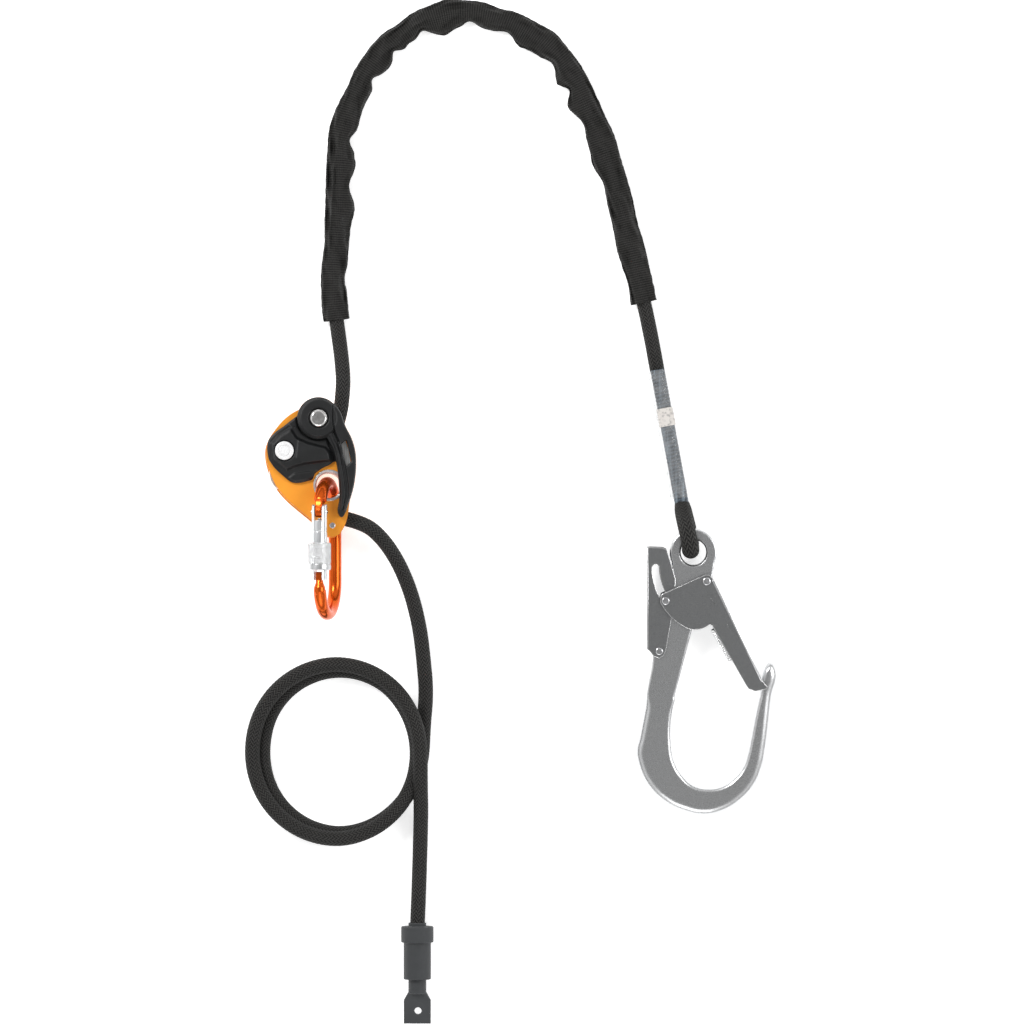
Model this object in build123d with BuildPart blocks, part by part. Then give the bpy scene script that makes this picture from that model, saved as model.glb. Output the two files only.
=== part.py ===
"""Rope grab on an adjustable lanyard: grab, screw-lock carabiner, rope and scaffold hook.

Millimetres. The lanyard lies on the plane z = 0, +Z is up. The origin is on that plane, under the
middle of the grab and its carabiner. The grab's top points along +Y and the hook lies on the +X side.
"""
from build123d import *
from math import cos, pi, radians, sin, tan
import os

os.makedirs("parts", exist_ok=True)

# ---- driving dimensions ----
ROPE_D = 12.0
ROPE_R = ROPE_D / 2

# grab: its own plane is the mid-plane between the side plates, with its origin at the eye
GRAB_LEAN = 5.0
GRAB_PITCH = 3.0
GRAB = Plane(
    origin=(14.8, 17.95, 28.0),
    x_dir=(cos(radians(GRAB_LEAN)), 0, -sin(radians(GRAB_LEAN))),
    z_dir=(
        sin(radians(GRAB_LEAN)) * cos(radians(GRAB_PITCH)),
        sin(radians(GRAB_PITCH)),
        cos(radians(GRAB_LEAN)) * cos(radians(GRAB_PITCH)),
    ),
)
PLATE_T = 3.0
PLATE_GAP = 14.0
PLATE_IN = PLATE_GAP / 2
PLATE_OUT = PLATE_IN + PLATE_T
CAM_AT = (-36.8, 27.9)
CAM_PIN_R = 3.5
HANDLE_AT = (-9.0, 54.4)
AXLE_R = 4.0
HEAD_R = 17.2
HEAD_TOP = 20.6
LOWER_RIVET_AT = (2.6, -32.8)
LOWER_RIVET_R = 1.6
BUSH_OUT_R = 11.0
EYE_R = 10.0
BUSH_FLANGE_R = 12.9
BOSS_R = 6.6
LEVER_H = 3.0
RUN = 0.05

# carabiner: x along its length, y from the spine to the gate
CARAB_LEAN = 12.3
BAR_R = 5.25
HALF_W = 26.25
BOW_END = 80.55
GATE_R = 6.2
HINGE_X = 23.6
GATE_END = 78.8
SLEEVE_R = 9.3
SLEEVE_FROM = 48.5
SLEEVE_L = 22.2
CARAB = Plane(
    origin=(14.0, 20.3, BAR_R + HALF_W * cos(radians(CARAB_LEAN))),
    x_dir=(0, -1, 0),
    z_dir=(-cos(radians(CARAB_LEAN)), 0, -sin(radians(CARAB_LEAN))),
)

# hook: origin at the middle of its ring
HOOK_TILT = 3.15
HOOK = Plane(
    origin=(313.2, -36.1, 19.4),
    x_dir=(1, 0, 0),
    z_dir=(0, -sin(radians(HOOK_TILT)), cos(radians(HOOK_TILT))),
)
SHANK_T = 13.0
BOW_T = 14.0
RING_OUT_R = 19.2
RING_IN_R = 10.6
LEVER_IN = 6.8
LEVER_T = 1.8
GATE_IN = 8.9
CHEEK_T = 2.0
GATE_OUT = GATE_IN + CHEEK_T
GATE_PIVOT = (10.7, -23.3)
LOCK_PIN = (-22.8, -39.4)
LEVER_PIVOT = (-27.9, -80.8)
PIN_R = 2.4
GATE_OPEN = 40.0
LEVER_RATIO = 0.12
SLOT_W = 5.7

# rope termination
SPLICE_Z = 7.0
SPLICE_PITCH = 11.6
SHEATH_T = 0.5
SPLICE_TOP = Vector(283.9, 113.2, SPLICE_Z)
SPLICE_BOTTOM = Vector(304.2, 2.0, SPLICE_Z)

# loop of spare rope
LOOP_AT = (21.3, -199.3)
LOOP_OUT_R = 77.4
LOOP_IN_R = 57.5
LOOP_H = 23.6

# end stop
STOP_X = 87.2
STOP_Z = 13.4
STOP_TOP = -339.9
FLANGE_R = 13.3
BARREL_R = 11.15
NECK_R = 7.3
TAB_W = 22.1
TAB_T = 6.0
HOLE_R = 2.9


def corner_radii(route, snug=None):
    """Radius at each corner: 0.45 of the shorter run over the tangent of half the turn."""
    pts = [Vector(p) for p in route]
    radii = []
    for i in range(1, len(pts) - 1):
        before = pts[i] - pts[i - 1]
        after = pts[i + 1] - pts[i]
        turn = radians(before.get_angle(after))
        radii.append(0.45 * min(before.length, after.length) / tan(turn / 2))
        if snug and i in snug:
            radii[-1] = snug[i]
    return radii


def report_cord(name, part, length):
    """Print a tube's volume against its section times its length."""
    swept = pi * ROPE_R**2 * length
    print(f"{name}: {length:.1f} mm long, volume ratio {part.volume / swept:.4f}")


def stack(plane, at, rings):
    """Coaxial discs on a plane: (radius, from, to) for each."""
    for radius, low, high in rings:
        with BuildSketch(plane.offset(low)) as disc:
            with Locations(at):
                Circle(radius)
        extrude(disc.sketch, amount=high - low)


def bore(plane, at, radius, low, high):
    """A hole through a plane's normal, from one level to another."""
    with BuildSketch(plane.offset(low)) as disc:
        with Locations(at):
            Circle(radius)
    extrude(disc.sketch, amount=high - low, mode=Mode.SUBTRACT)


def dome(part, plane, amount):
    """Round the highest circular edge along the plane's normal."""
    rims = part.edges().filter_by(GeomType.CIRCLE)
    top = rims.sort_by(Axis(plane.origin, plane.z_dir))[-1]
    fillet(top, amount)


# ---- grab: side plates ----
def plate_outline():
    with BuildLine() as outline:
        Spline(
            (-21.3, 63.0), (-30.3, 58.7), (-43.8, 45.5), (-51.0, 30.8), (-50.8, 20.5),
            (-48.1, 10.2), (-41.3, -3.3), (-30.6, -14.9), (-15.4, -27.5), (-1.9, -40.7),
        )
        ThreePointArc((-1.9, -40.7), (3.4, -41.9), (10.4, -37.0))
        Spline(
            (10.4, -37.0), (14.2, -28.9), (16.5, -15.0),
            (18.9, 4.5), (18.1, 20.9), (14.1, 37.3), (5.9, 56.0),
        )
        ThreePointArc((5.9, 56.0), (-9.0, 69.4), (-21.3, 63.0))
    make_face(outline.edges())
    with Locations((0, 0)):
        Circle(BUSH_OUT_R + RUN, mode=Mode.SUBTRACT)
    with Locations(CAM_AT):
        Circle(CAM_PIN_R + RUN, mode=Mode.SUBTRACT)
    with Locations(LOWER_RIVET_AT):
        Circle(LOWER_RIVET_R + RUN, mode=Mode.SUBTRACT)


with BuildPart() as front_plate:
    with BuildSketch(GRAB.offset(PLATE_IN)):
        plate_outline()
        with Locations(HANDLE_AT):
            Circle(BOSS_R + 0.3, mode=Mode.SUBTRACT)
    extrude(amount=PLATE_T)
front_plate.part.label = "front_plate"
export_step(front_plate.part, "parts/front_plate.step")

with BuildPart() as rear_plate:
    with BuildSketch(GRAB.offset(-PLATE_OUT)):
        plate_outline()
        with Locations(HANDLE_AT):
            Circle(AXLE_R + RUN, mode=Mode.SUBTRACT)
    extrude(amount=PLATE_T)
rear_plate.part.label = "rear_plate"
export_step(rear_plate.part, "parts/rear_plate.step")

# ---- grab: moulded front cover with its raised bulge ----
COVER_LOW = 13.4
COVER_TOP = 17.0
with BuildPart() as front_cover:
    with BuildSketch(GRAB.offset(PLATE_OUT)):
        with BuildLine():
            Polyline(
                (-24.0, 57.5), (-27.8, 55.2), (-36.0, 48.9), (-44.2, 42.9), (-49.0, 37.9), (-50.3, 33.7),
                (-49.9, 24.0), (-48.6, 19.9), (-35.0, 5.4), (-30.9, 2.6), (-28.0, 1.8), (-16.9, 3.5),
                (-13.8, 4.6), (-11.6, 9.2), (-7.5, 12.6), (3.2, 19.1), (3.6, 21.0), (2.0, 27.8),
                (-0.9, 33.3), (-9.0, 48.0), (-24.0, 57.5),
            )
        make_face()
    extrude(amount=COVER_LOW - PLATE_OUT)
    with BuildSketch(GRAB.offset(COVER_LOW)):
        with BuildLine():
            Polyline(
                (-31.0, 47.5), (-47.5, 34.0), (-45.5, 20.0), (-29.0, 13.5), (-20.4, 17.0), (2.8, 20.6),
                (1.4, 27.2), (-1.8, 33.0), (-17.0, 36.6), (-25.5, 40.5), (-31.0, 47.5),
            )
        make_face()
    extrude(amount=COVER_TOP - COVER_LOW)
    top_face = front_cover.faces().sort_by(Axis(GRAB.origin, GRAB.z_dir))[-1]
    chamfer(top_face.edges(), 1.6)
    bore(GRAB, HANDLE_AT, HEAD_R + 0.6, PLATE_OUT - 1, COVER_TOP + 1)
    bore(GRAB, (0, 0), BUSH_FLANGE_R + 0.3, PLATE_OUT - 1, COVER_TOP + 1)
    bore(GRAB, CAM_AT, 8.0, 15.4, COVER_TOP + 1)
    bore(GRAB, CAM_AT, CAM_PIN_R + 0.1, PLATE_OUT, COVER_TOP)
front_cover.part.label = "front_cover"
export_step(front_cover.part, "parts/front_cover.step")

# ---- grab: steel plate that the handle rubs on ----
WEAR_TOP = PLATE_OUT + 1.4
with BuildPart() as wear_plate:
    with BuildSketch(GRAB.offset(PLATE_OUT)):
        with BuildLine():
            Polyline(
                (9.6, 9.0), (6.8, 27.0), (5.4, 35.0), (12.9, 38.0),
                (15.8, 29.0), (17.6, 19.0), (17.6, 9.0), (9.6, 9.0)
            )
        make_face()
    extrude(amount=WEAR_TOP - PLATE_OUT)
wear_plate.part.label = "wear_plate"
export_step(wear_plate.part, "parts/wear_plate.step")

# ---- grab: release handle ----
ARM_LOW = WEAR_TOP + 0.3
ARM_MID = 17.6
ARM_TOP = 20.0
with BuildPart() as handle:
    stack(GRAB, HANDLE_AT, [(HEAD_R, PLATE_OUT + 0.3, HEAD_TOP)])
    chamfer(handle.edges().filter_by(GeomType.CIRCLE).sort_by(Axis(GRAB.origin, GRAB.z_dir))[-1], 2.4)
    with BuildSketch(GRAB.offset(ARM_LOW)):
        with BuildLine():
            Spline(
                (2.2, 66.6), (7.6, 62.0), (13.4, 47.6), (18.3, 37.7), (21.2, 27.1), (21.8, 16.7),
                (21.1, 6.5), (18.7, -5.8), (15.3, -16.0), (12.4, -23.6),
            )
            ThreePointArc((12.4, -23.6), (9.8, -26.3), (7.0, -23.0))
            Spline((7.0, -23.0), (8.1, -10.7), (7.5, 3.3), (5.9, 16.7), (3.1, 29.0), (-0.4, 35.6))
            Line((-0.4, 35.6), (-6.0, 46.0))
            Line((-6.0, 46.0), (2.2, 66.6))
        make_face()
    extrude(amount=ARM_MID - ARM_LOW)
    with BuildSketch(GRAB.offset(ARM_MID)):
        with BuildLine():
            Spline(
                (2.6, 66.0), (7.2, 61.6), (13.0, 47.2), (17.8, 37.5), (20.7, 27.0), (21.3, 16.7),
                (20.6, 6.6), (18.2, -5.6), (14.8, -15.8), (12.0, -22.6),
            )
            Line((12.0, -22.6), (10.4, -22.6))
            Spline(
                (10.4, -22.6), (14.4, -7.1), (13.1, 6.5),
                (11.2, 18.0), (7.8, 33.0), (3.4, 42.6), (2.2, 52.0),
            )
            Line((2.2, 52.0), (2.6, 66.0))
        make_face()
    extrude(amount=ARM_TOP - ARM_MID)
    with BuildSketch(GRAB.offset(ARM_LOW - 1)):
        with BuildLine():
            Polyline((8.2, 32.3), (14.0, 36.7), (18.1, 19.4), (13.9, 14.9), (8.2, 32.3))
        make_face()
    extrude(amount=12, mode=Mode.SUBTRACT)
    bore(GRAB, HANDLE_AT, 8.2, HEAD_TOP - 1.8, HEAD_TOP + 1)
    stack(GRAB, HANDLE_AT, [(BOSS_R, LEVER_H, PLATE_OUT + 0.4)])
    bore(GRAB, HANDLE_AT, AXLE_R + RUN, LEVER_H - 1, HEAD_TOP + 1)
handle.part.label = "handle"
export_step(handle.part, "parts/handle.step")

# ---- grab: lever between the plates, keyed on the handle's boss ----
with BuildPart() as release_lever:
    with BuildSketch(GRAB.offset(LEVER_H)):
        with Locations(HANDLE_AT):
            Circle(9.0)
        with Locations((HANDLE_AT[0] - 8.0, HANDLE_AT[1] - 1.4)):
            Rectangle(8.0, 6.0)
        with Locations(HANDLE_AT):
            Circle(BOSS_R, mode=Mode.SUBTRACT)
    extrude(amount=PLATE_IN - 0.5 - LEVER_H)
release_lever.part.label = "release_lever"
export_step(release_lever.part, "parts/release_lever.step")

with BuildPart() as handle_axle:
    stack(GRAB, HANDLE_AT, [
        (6.5, -PLATE_OUT - 2.0, -PLATE_OUT),
        (AXLE_R, -PLATE_OUT, 19.2),
        (7.46, 18.9, 22.4),
    ])
    dome(handle_axle, GRAB, 3.0)
handle_axle.part.label = "handle_axle"
export_step(handle_axle.part, "parts/handle_axle.step")

with BuildPart() as cam_pivot:
    stack(GRAB, CAM_AT, [
        (6.0, -PLATE_OUT - 1.6, -PLATE_OUT),
        (CAM_PIN_R, -PLATE_OUT, 16.0),
        (7.6, 15.5, 18.2),
    ])
    dome(cam_pivot, GRAB, 0.8)
cam_pivot.part.label = "cam_pivot"
export_step(cam_pivot.part, "parts/cam_pivot.step")

with BuildPart() as lower_rivet:
    stack(
        GRAB,
        LOWER_RIVET_AT,
        [
            (2.5, -PLATE_OUT - 0.9, -PLATE_OUT),
            (LOWER_RIVET_R, -PLATE_OUT, PLATE_OUT),
            (2.5, PLATE_OUT, PLATE_OUT + 0.9),
        ],
    )
    dome(lower_rivet, GRAB, 0.7)
lower_rivet.part.label = "lower_rivet"
export_step(lower_rivet.part, "parts/lower_rivet.step")

# ---- grab: sleeves that hold the plates apart ----
with BuildPart() as plate_spacers:
    stack(GRAB, LOWER_RIVET_AT, [(2.3, -PLATE_IN, PLATE_IN)])
    bore(GRAB, LOWER_RIVET_AT, LOWER_RIVET_R + RUN, -PLATE_IN, PLATE_IN)
    stack(GRAB, HANDLE_AT, [(5.8, -PLATE_IN, LEVER_H - 0.3)])
    bore(GRAB, HANDLE_AT, AXLE_R + RUN, -PLATE_IN, LEVER_H)
plate_spacers.part.label = "plate_spacers"
export_step(plate_spacers.part, "parts/plate_spacers.step")

# ---- grab: steel bushing of the attachment eye ----
FLANGE_T = 0.8
with BuildPart() as eye_bushing:
    stack(
        GRAB,
        (0, 0),
        [
            (BUSH_FLANGE_R, -PLATE_OUT - FLANGE_T, -PLATE_OUT),
            (BUSH_OUT_R, -PLATE_OUT, PLATE_OUT),
            (BUSH_FLANGE_R, PLATE_OUT, PLATE_OUT + FLANGE_T),
        ],
    )
    bore(GRAB, (0, 0), EYE_R, -PLATE_OUT - 1, PLATE_OUT + 1)
    mouths = eye_bushing.edges().filter_by(GeomType.CIRCLE).group_by(SortBy.RADIUS)[0]
    chamfer(mouths, 0.9)
eye_bushing.part.label = "eye_bushing"
export_step(eye_bushing.part, "parts/eye_bushing.step")

# ---- grab: toothed cam that pinches the rope against the bushing ----
CAM_H = 6.4
CAM_LOW = -3.4
with BuildPart() as cam:
    with BuildSketch(GRAB.offset(CAM_LOW)):
        with BuildLine():
            Spline((-40.5, 36.5), (-46.0, 29.0), (-48.4, 14.0), (-46.0, 2.0), (-41.5, -2.6))
            Line((-41.5, -2.6), (-31.5, 2.0))
            Spline((-31.5, 2.0), (-25.6, 8.0), (-25.4, 15.5), (-28.5, 24.0))
            Line((-28.5, 24.0), (-23.5, 41.0))
            Line((-23.5, 41.0), (-28.0, 42.6))
            Line((-28.0, 42.6), (-34.0, 36.0))
            Line((-34.0, 36.0), (-40.5, 36.5))
        make_face()
        with Locations(CAM_AT):
            Circle(CAM_PIN_R + RUN, mode=Mode.SUBTRACT)
        for tooth in range(5):
            with Locations((-25.2 - 0.15 * (tooth - 2) ** 2, 7.0 + 2.4 * tooth)):
                Circle(0.7, mode=Mode.SUBTRACT)
    extrude(amount=CAM_H - CAM_LOW)
cam.part.label = "cam"
export_step(cam.part, "parts/cam.step")


# ---- springs ----
def coil(plane, at, low, turns, pitch, radius, wire_r):
    """A helical spring round an axis along a plane's normal."""
    foot = plane.from_local_coords((at[0], at[1], low))
    path = Helix(pitch=pitch, height=turns * pitch, radius=radius, center=foot, direction=plane.z_dir)
    with BuildSketch(Plane(origin=path @ 0, z_dir=path % 0)) as wire:
        Circle(wire_r)
    sweep(wire.sketch, path=path, is_frenet=True)


with BuildPart() as handle_spring:
    coil(GRAB, HANDLE_AT, -6.0, 5, 1.6, 7.0, 0.65)
handle_spring.part.label = "handle_spring"
export_step(handle_spring.part, "parts/handle_spring.step")

with BuildPart() as cam_spring:
    coil(GRAB, CAM_AT, -6.2, 2, 1.1, 4.9, 0.5)
cam_spring.part.label = "cam_spring"
export_step(cam_spring.part, "parts/cam_spring.step")

# ---- carabiner: body bar, hinge tang and keyed nose ----
with BuildPart() as carabiner_body:
    with BuildLine(CARAB) as bar_line:
        CenterArc((HALF_W, 0), HALF_W, 117, 153)
        Line((HALF_W, -HALF_W), (BOW_END, -HALF_W))
        CenterArc((BOW_END, 0), HALF_W, -90, 165)
    with BuildSketch(Plane(origin=bar_line.line @ 0, z_dir=bar_line.line % 0)):
        Circle(BAR_R)
    sweep(path=bar_line.line)
    with BuildSketch(CARAB):
        with BuildLine():
            Polyline(
                (HINGE_X, HALF_W + 4.5), (HINGE_X, HALF_W - 4.5),
                (15.0, 18.4), (11.6, 26.6), (HINGE_X, HALF_W + 4.5),
            )
        make_face()
        with Locations((HINGE_X, HALF_W)):
            Circle(4.5)
    extrude(amount=3.0, both=True)
    with BuildSketch(CARAB):
        with BuildLine():
            Polyline((79.3, HALF_W), (79.3, HALF_W + 2.8), (81.2, HALF_W + 2.8))
            Spline((81.2, HALF_W + 2.8), (84.8, HALF_W + 4.5), (89.0, HALF_W + 4.3))
            Polyline((89.0, HALF_W + 4.3), (89.0, HALF_W), (79.3, HALF_W))
        make_face()
    revolve(axis=Axis(CARAB.from_local_coords((0, HALF_W, 0)), CARAB.x_dir))
    with BuildSketch(CARAB):
        with Locations((76.1, HALF_W)):
            Rectangle(8.0, 5.2)
    extrude(amount=2.7, both=True)
    with BuildSketch(CARAB.offset(-8)):
        with Locations((HINGE_X, HALF_W)):
            Circle(1.6 + RUN)
    extrude(amount=16, mode=Mode.SUBTRACT)
carabiner_body.part.label = "carabiner_body"
export_step(carabiner_body.part, "parts/carabiner_body.step")

# ---- carabiner: forked gate ----
GATE_AXIS = Plane(
    origin=CARAB.from_local_coords((0, HALF_W, 0)), x_dir=CARAB.y_dir, z_dir=CARAB.x_dir
)
FORK_END = HINGE_X - GATE_R
with BuildPart() as carabiner_gate:
    stack(GATE_AXIS, (0, 0), [(GATE_R, FORK_END, GATE_END)])
    with BuildSketch(CARAB):
        with Locations((FORK_END + GATE_R / 2, HALF_W)):
            Rectangle(GATE_R, 2 * GATE_R)
        with Locations((HINGE_X, HALF_W)):
            Circle(GATE_R - 0.05, mode=Mode.SUBTRACT)
    extrude(amount=GATE_R, both=True, mode=Mode.SUBTRACT)
    with BuildSketch(CARAB):
        with Locations((FORK_END + 6.4, HALF_W)):
            Rectangle(13.2, 2 * GATE_R + 1)
        with Locations((73.9, HALF_W)):
            Rectangle(10.4, 2 * GATE_R + 1)
    extrude(amount=3.2, both=True, mode=Mode.SUBTRACT)
    bore(GATE_AXIS, (0, 0), 2.6, 28.0, 58.0)
    with BuildSketch(GATE_AXIS.offset(39.0)):
        Circle(GATE_R + 1)
        Circle(GATE_R - 0.35, mode=Mode.SUBTRACT)
    extrude(amount=0.7, mode=Mode.SUBTRACT)
    with BuildSketch(CARAB.offset(-8)):
        with Locations((HINGE_X, HALF_W)):
            Circle(1.6)
    extrude(amount=16, mode=Mode.SUBTRACT)
carabiner_gate.part.label = "carabiner_gate"
export_step(carabiner_gate.part, "parts/carabiner_gate.step")

with BuildPart() as gate_rivet:
    stack(CARAB, (HINGE_X, HALF_W), [(1.6, -GATE_R - 0.5, GATE_R + 0.5)])
gate_rivet.part.label = "gate_rivet"
export_step(gate_rivet.part, "parts/gate_rivet.step")

with BuildPart() as gate_pusher:
    stack(GATE_AXIS, (0, 0), [(1.5, 28.5, 40.0), (2.45, 37.0, 38.6)])
gate_pusher.part.label = "gate_pusher"
export_step(gate_pusher.part, "parts/gate_pusher.step")

with BuildPart() as gate_spring:
    coil(GATE_AXIS, (0, 0), 39.2, 9, 2.0, 2.05, 0.3)
gate_spring.part.label = "gate_spring"
export_step(gate_spring.part, "parts/gate_spring.step")

# ---- carabiner: screw sleeve ----
with BuildPart() as screw_sleeve:
    stack(
        GATE_AXIS,
        (0, 0),
        [
            (SLEEVE_R, SLEEVE_FROM, SLEEVE_FROM + 16.8),
            (SLEEVE_R - 0.4, SLEEVE_FROM + 16.8, SLEEVE_FROM + 17.4),
            (SLEEVE_R, SLEEVE_FROM + 17.4, SLEEVE_FROM + SLEEVE_L),
        ],
    )
    bore(GATE_AXIS, (0, 0), GATE_R + RUN, SLEEVE_FROM, SLEEVE_FROM + SLEEVE_L)
    rims = screw_sleeve.edges().filter_by(GeomType.CIRCLE)
    chamfer(rims.group_by(Axis(GATE_AXIS.origin, GATE_AXIS.z_dir))[0], 0.6)
screw_sleeve.part.label = "screw_sleeve"
export_step(screw_sleeve.part, "parts/screw_sleeve.step")

# ---- hook: forged body with its ring ----
with BuildPart() as hook_bow:
    with BuildSketch(HOOK.offset(-BOW_T / 2)):
        with BuildLine():
            Spline(
                (-38.2, -120.0), (-44.2, -152.2), (-46.7, -163.0),
                (-45.1, -173.8), (-37.7, -190.7), (-23.7, -205.0),
                (-6.5, -213.2), (8.6, -216.1), (23.8, -213.2),
                (37.8, -205.0), (50.1, -191.9), (56.6, -177.6),
                (59.5, -159.9), (64.0, -118.9), (67.0, -96.0),
            )
            ThreePointArc((67.0, -96.0), (63.0, -90.6), (58.6, -97.0))
            Spline(
                (58.6, -97.0), (55.8, -113.5), (51.7, -131.2),
                (47.2, -155.0), (44.3, -168.1), (40.6, -177.6),
                (32.8, -186.9), (23.8, -192.4), (13.2, -194.3),
                (0.9, -191.9), (-9.2, -183.2), (-15.9, -170.9),
                (-18.2, -156.6), (-18.0, -137.7), (-14.9, -120.0),
            )
            Line((-14.9, -120.0), (-38.2, -120.0))
        make_face()
    extrude(amount=BOW_T)
    fillet(hook_bow.faces().sort_by(Axis(HOOK.origin, HOOK.z_dir))[0].edges(), 3.6)
    fillet(hook_bow.faces().sort_by(Axis(HOOK.origin, HOOK.z_dir))[-1].edges(), 3.6)

with BuildPart() as hook_body:
    with BuildSketch(HOOK.offset(-SHANK_T / 2)):
        with BuildLine():
            Polyline((-17.0, -6.0), (-18.6, -50.0), (-24.5, -62.0), (-31.5, -73.0))
            Spline((-31.5, -73.0), (-32.8, -88.0), (-36.6, -115.0), (-37.4, -128.0))
            Line((-37.4, -128.0), (-17.6, -128.0))
            Spline(
                (-17.6, -128.0), (-11.2, -102.0), (-3.6, -72.1),
                (2.0, -52.0), (9.0, -38.0), (14.6, -27.0),
            )
            Polyline((14.6, -27.0), (15.6, -20.5), (16.5, -6.0), (-17.0, -6.0))
        make_face()
        Circle(RING_OUT_R)
    extrude(amount=SHANK_T)
    chamfer(hook_body.faces().sort_by(Axis(HOOK.origin, HOOK.z_dir))[0].edges(), 1.2)
    chamfer(hook_body.faces().sort_by(Axis(HOOK.origin, HOOK.z_dir))[-1].edges(), 1.2)
    add(hook_bow.part)
    bore(HOOK, (0, 0), RING_IN_R, -SHANK_T, SHANK_T)
    bore(HOOK, GATE_PIVOT, PIN_R + RUN, -SHANK_T, SHANK_T)
    bore(HOOK, LEVER_PIVOT, PIN_R + RUN, -SHANK_T, SHANK_T)
    ring_edges = hook_body.edges().filter_by(GeomType.CIRCLE).filter_by(
        lambda e: abs(e.radius - RING_IN_R) < 0.01
    )
    chamfer(ring_edges, 1.7)
hook_body.part.label = "hook_body"
export_step(hook_body.part, "parts/hook_body.step")

# ---- hook: folded sheet gate ----
with BuildPart() as hook_gate:
    for low in (-GATE_OUT, GATE_IN):
        with BuildSketch(HOOK.offset(low)):
            with BuildLine():
                Polyline(
                    (-27.4, -40.4), (-26.6, -34.4), (-25.2, -33.4),
                    (9.9, -17.6), (13.9, -18.6), (16.2, -21.5),
                    (56.6, -104.9), (60.7, -109.9), (59.2, -111.8),
                    (50.1, -113.5), (45.1, -111.5), (42.7, -107.9),
                    (15.3, -59.8), (12.8, -59.0),
                )
                Spline(
                    (12.8, -59.0), (6.6, -62.2), (-1.6, -62.9),
                    (-8.2, -60.3), (-18.2, -52.8), (-27.4, -40.4),
                )
            make_face()
            with Locations(GATE_PIVOT):
                Circle(PIN_R + RUN, mode=Mode.SUBTRACT)
            with Locations(LOCK_PIN):
                Circle(PIN_R, mode=Mode.SUBTRACT)
        extrude(amount=CHEEK_T)
    with BuildSketch(HOOK.offset(-GATE_OUT)):
        with BuildLine():
            Polyline((22.6, -34.8), (55.0, -101.6), (53.2, -102.5), (20.8, -35.7), (22.6, -34.8))
        make_face()
    extrude(amount=2 * GATE_OUT)
hook_gate.part.label = "hook_gate"
export_step(hook_gate.part, "parts/hook_gate.step")

# ---- hook: ribbed grip strips on the gate's inner edges ----
GRIP_TURN = -60.3
with BuildPart() as gate_grip:
    for low in (-GATE_OUT, GATE_IN):
        with BuildSketch(HOOK.offset(low)):
            with Locations(Location((22.75, -76.2, 0), (0, 0, GRIP_TURN))):
                SlotOverall(30.0, 3.2)
            with Locations(Location((22.1, -76.6, 0), (0, 0, GRIP_TURN))):
                with GridLocations(1.7, 1, 15, 1):
                    with Locations((0, -1.15)):
                        Rectangle(0.7, 1.0, mode=Mode.SUBTRACT)
        extrude(amount=CHEEK_T)
    add(hook_gate.part, mode=Mode.SUBTRACT)
gate_grip.part.label = "gate_grip"
export_step(gate_grip.part, "parts/gate_grip.step")


# ---- hook: safety lever, with the slot that the gate's lock pin draws in it ----
def turned(point, centre, angle):
    """A point turned about a centre, in degrees."""
    dx = point[0] - centre[0]
    dy = point[1] - centre[1]
    c = cos(radians(angle))
    s = sin(radians(angle))
    return (centre[0] + c * dx - s * dy, centre[1] + s * dx + c * dy)


slot_line = []
for step in range(-1, 6):
    opening = GATE_OPEN * step / 4.7
    pin_at = turned(LOCK_PIN, GATE_PIVOT, -opening)
    slot_line.append(turned(pin_at, LEVER_PIVOT, opening * LEVER_RATIO))

LEVER_OUT = LEVER_IN + LEVER_T
with BuildPart() as safety_lever:
    for low in (-LEVER_OUT, LEVER_IN):
        with BuildSketch(HOOK.offset(low)):
            with BuildLine():
                Polyline(
                    (-38.2, 4.5), (-25.0, 4.0), (-21.9, 2.4),
                    (-18.2, -8.2), (-14.7, -21.3), (-14.7, -27.9),
                    (-18.0, -54.5), (-19.8, -65.6), (-22.4, -80.0),
                    (-24.6, -84.6), (-28.2, -86.6), (-32.4, -85.0),
                    (-36.0, -80.5), (-38.2, -79.0), (-38.2, 4.5),
                )
            make_face()
            with Locations(LEVER_PIVOT):
                Circle(PIN_R + RUN, mode=Mode.SUBTRACT)
            for near, far in zip(slot_line, slot_line[1:]):
                middle = ((near[0] + far[0]) / 2, (near[1] + far[1]) / 2)
                SlotCenterPoint(middle, far, SLOT_W, mode=Mode.SUBTRACT)
        extrude(amount=LEVER_T)
    with BuildSketch(HOOK.offset(-LEVER_OUT)):
        with BuildLine():
            Polyline((-38.2, 4.5), (-36.2, 4.4), (-36.2, -80.2), (-38.2, -79.0), (-38.2, 4.5))
        make_face()
    extrude(amount=2 * LEVER_OUT)
safety_lever.part.label = "safety_lever"
export_step(safety_lever.part, "parts/safety_lever.step")

with BuildPart() as gate_pivot:
    stack(
        HOOK,
        GATE_PIVOT,
        [(3.3, -GATE_OUT - 1.3, -GATE_OUT), (PIN_R, -GATE_OUT, GATE_OUT), (3.3, GATE_OUT, GATE_OUT + 1.3)],
    )
    dome(gate_pivot, HOOK, 1.0)
gate_pivot.part.label = "gate_pivot"
export_step(gate_pivot.part, "parts/gate_pivot.step")

with BuildPart() as lock_pin:
    stack(
        HOOK,
        LOCK_PIN,
        [(3.2, -GATE_OUT - 1.2, -GATE_OUT), (PIN_R, -GATE_OUT, GATE_OUT), (3.2, GATE_OUT, GATE_OUT + 1.2)],
    )
    dome(lock_pin, HOOK, 0.9)
lock_pin.part.label = "lock_pin"
export_step(lock_pin.part, "parts/lock_pin.step")

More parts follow.
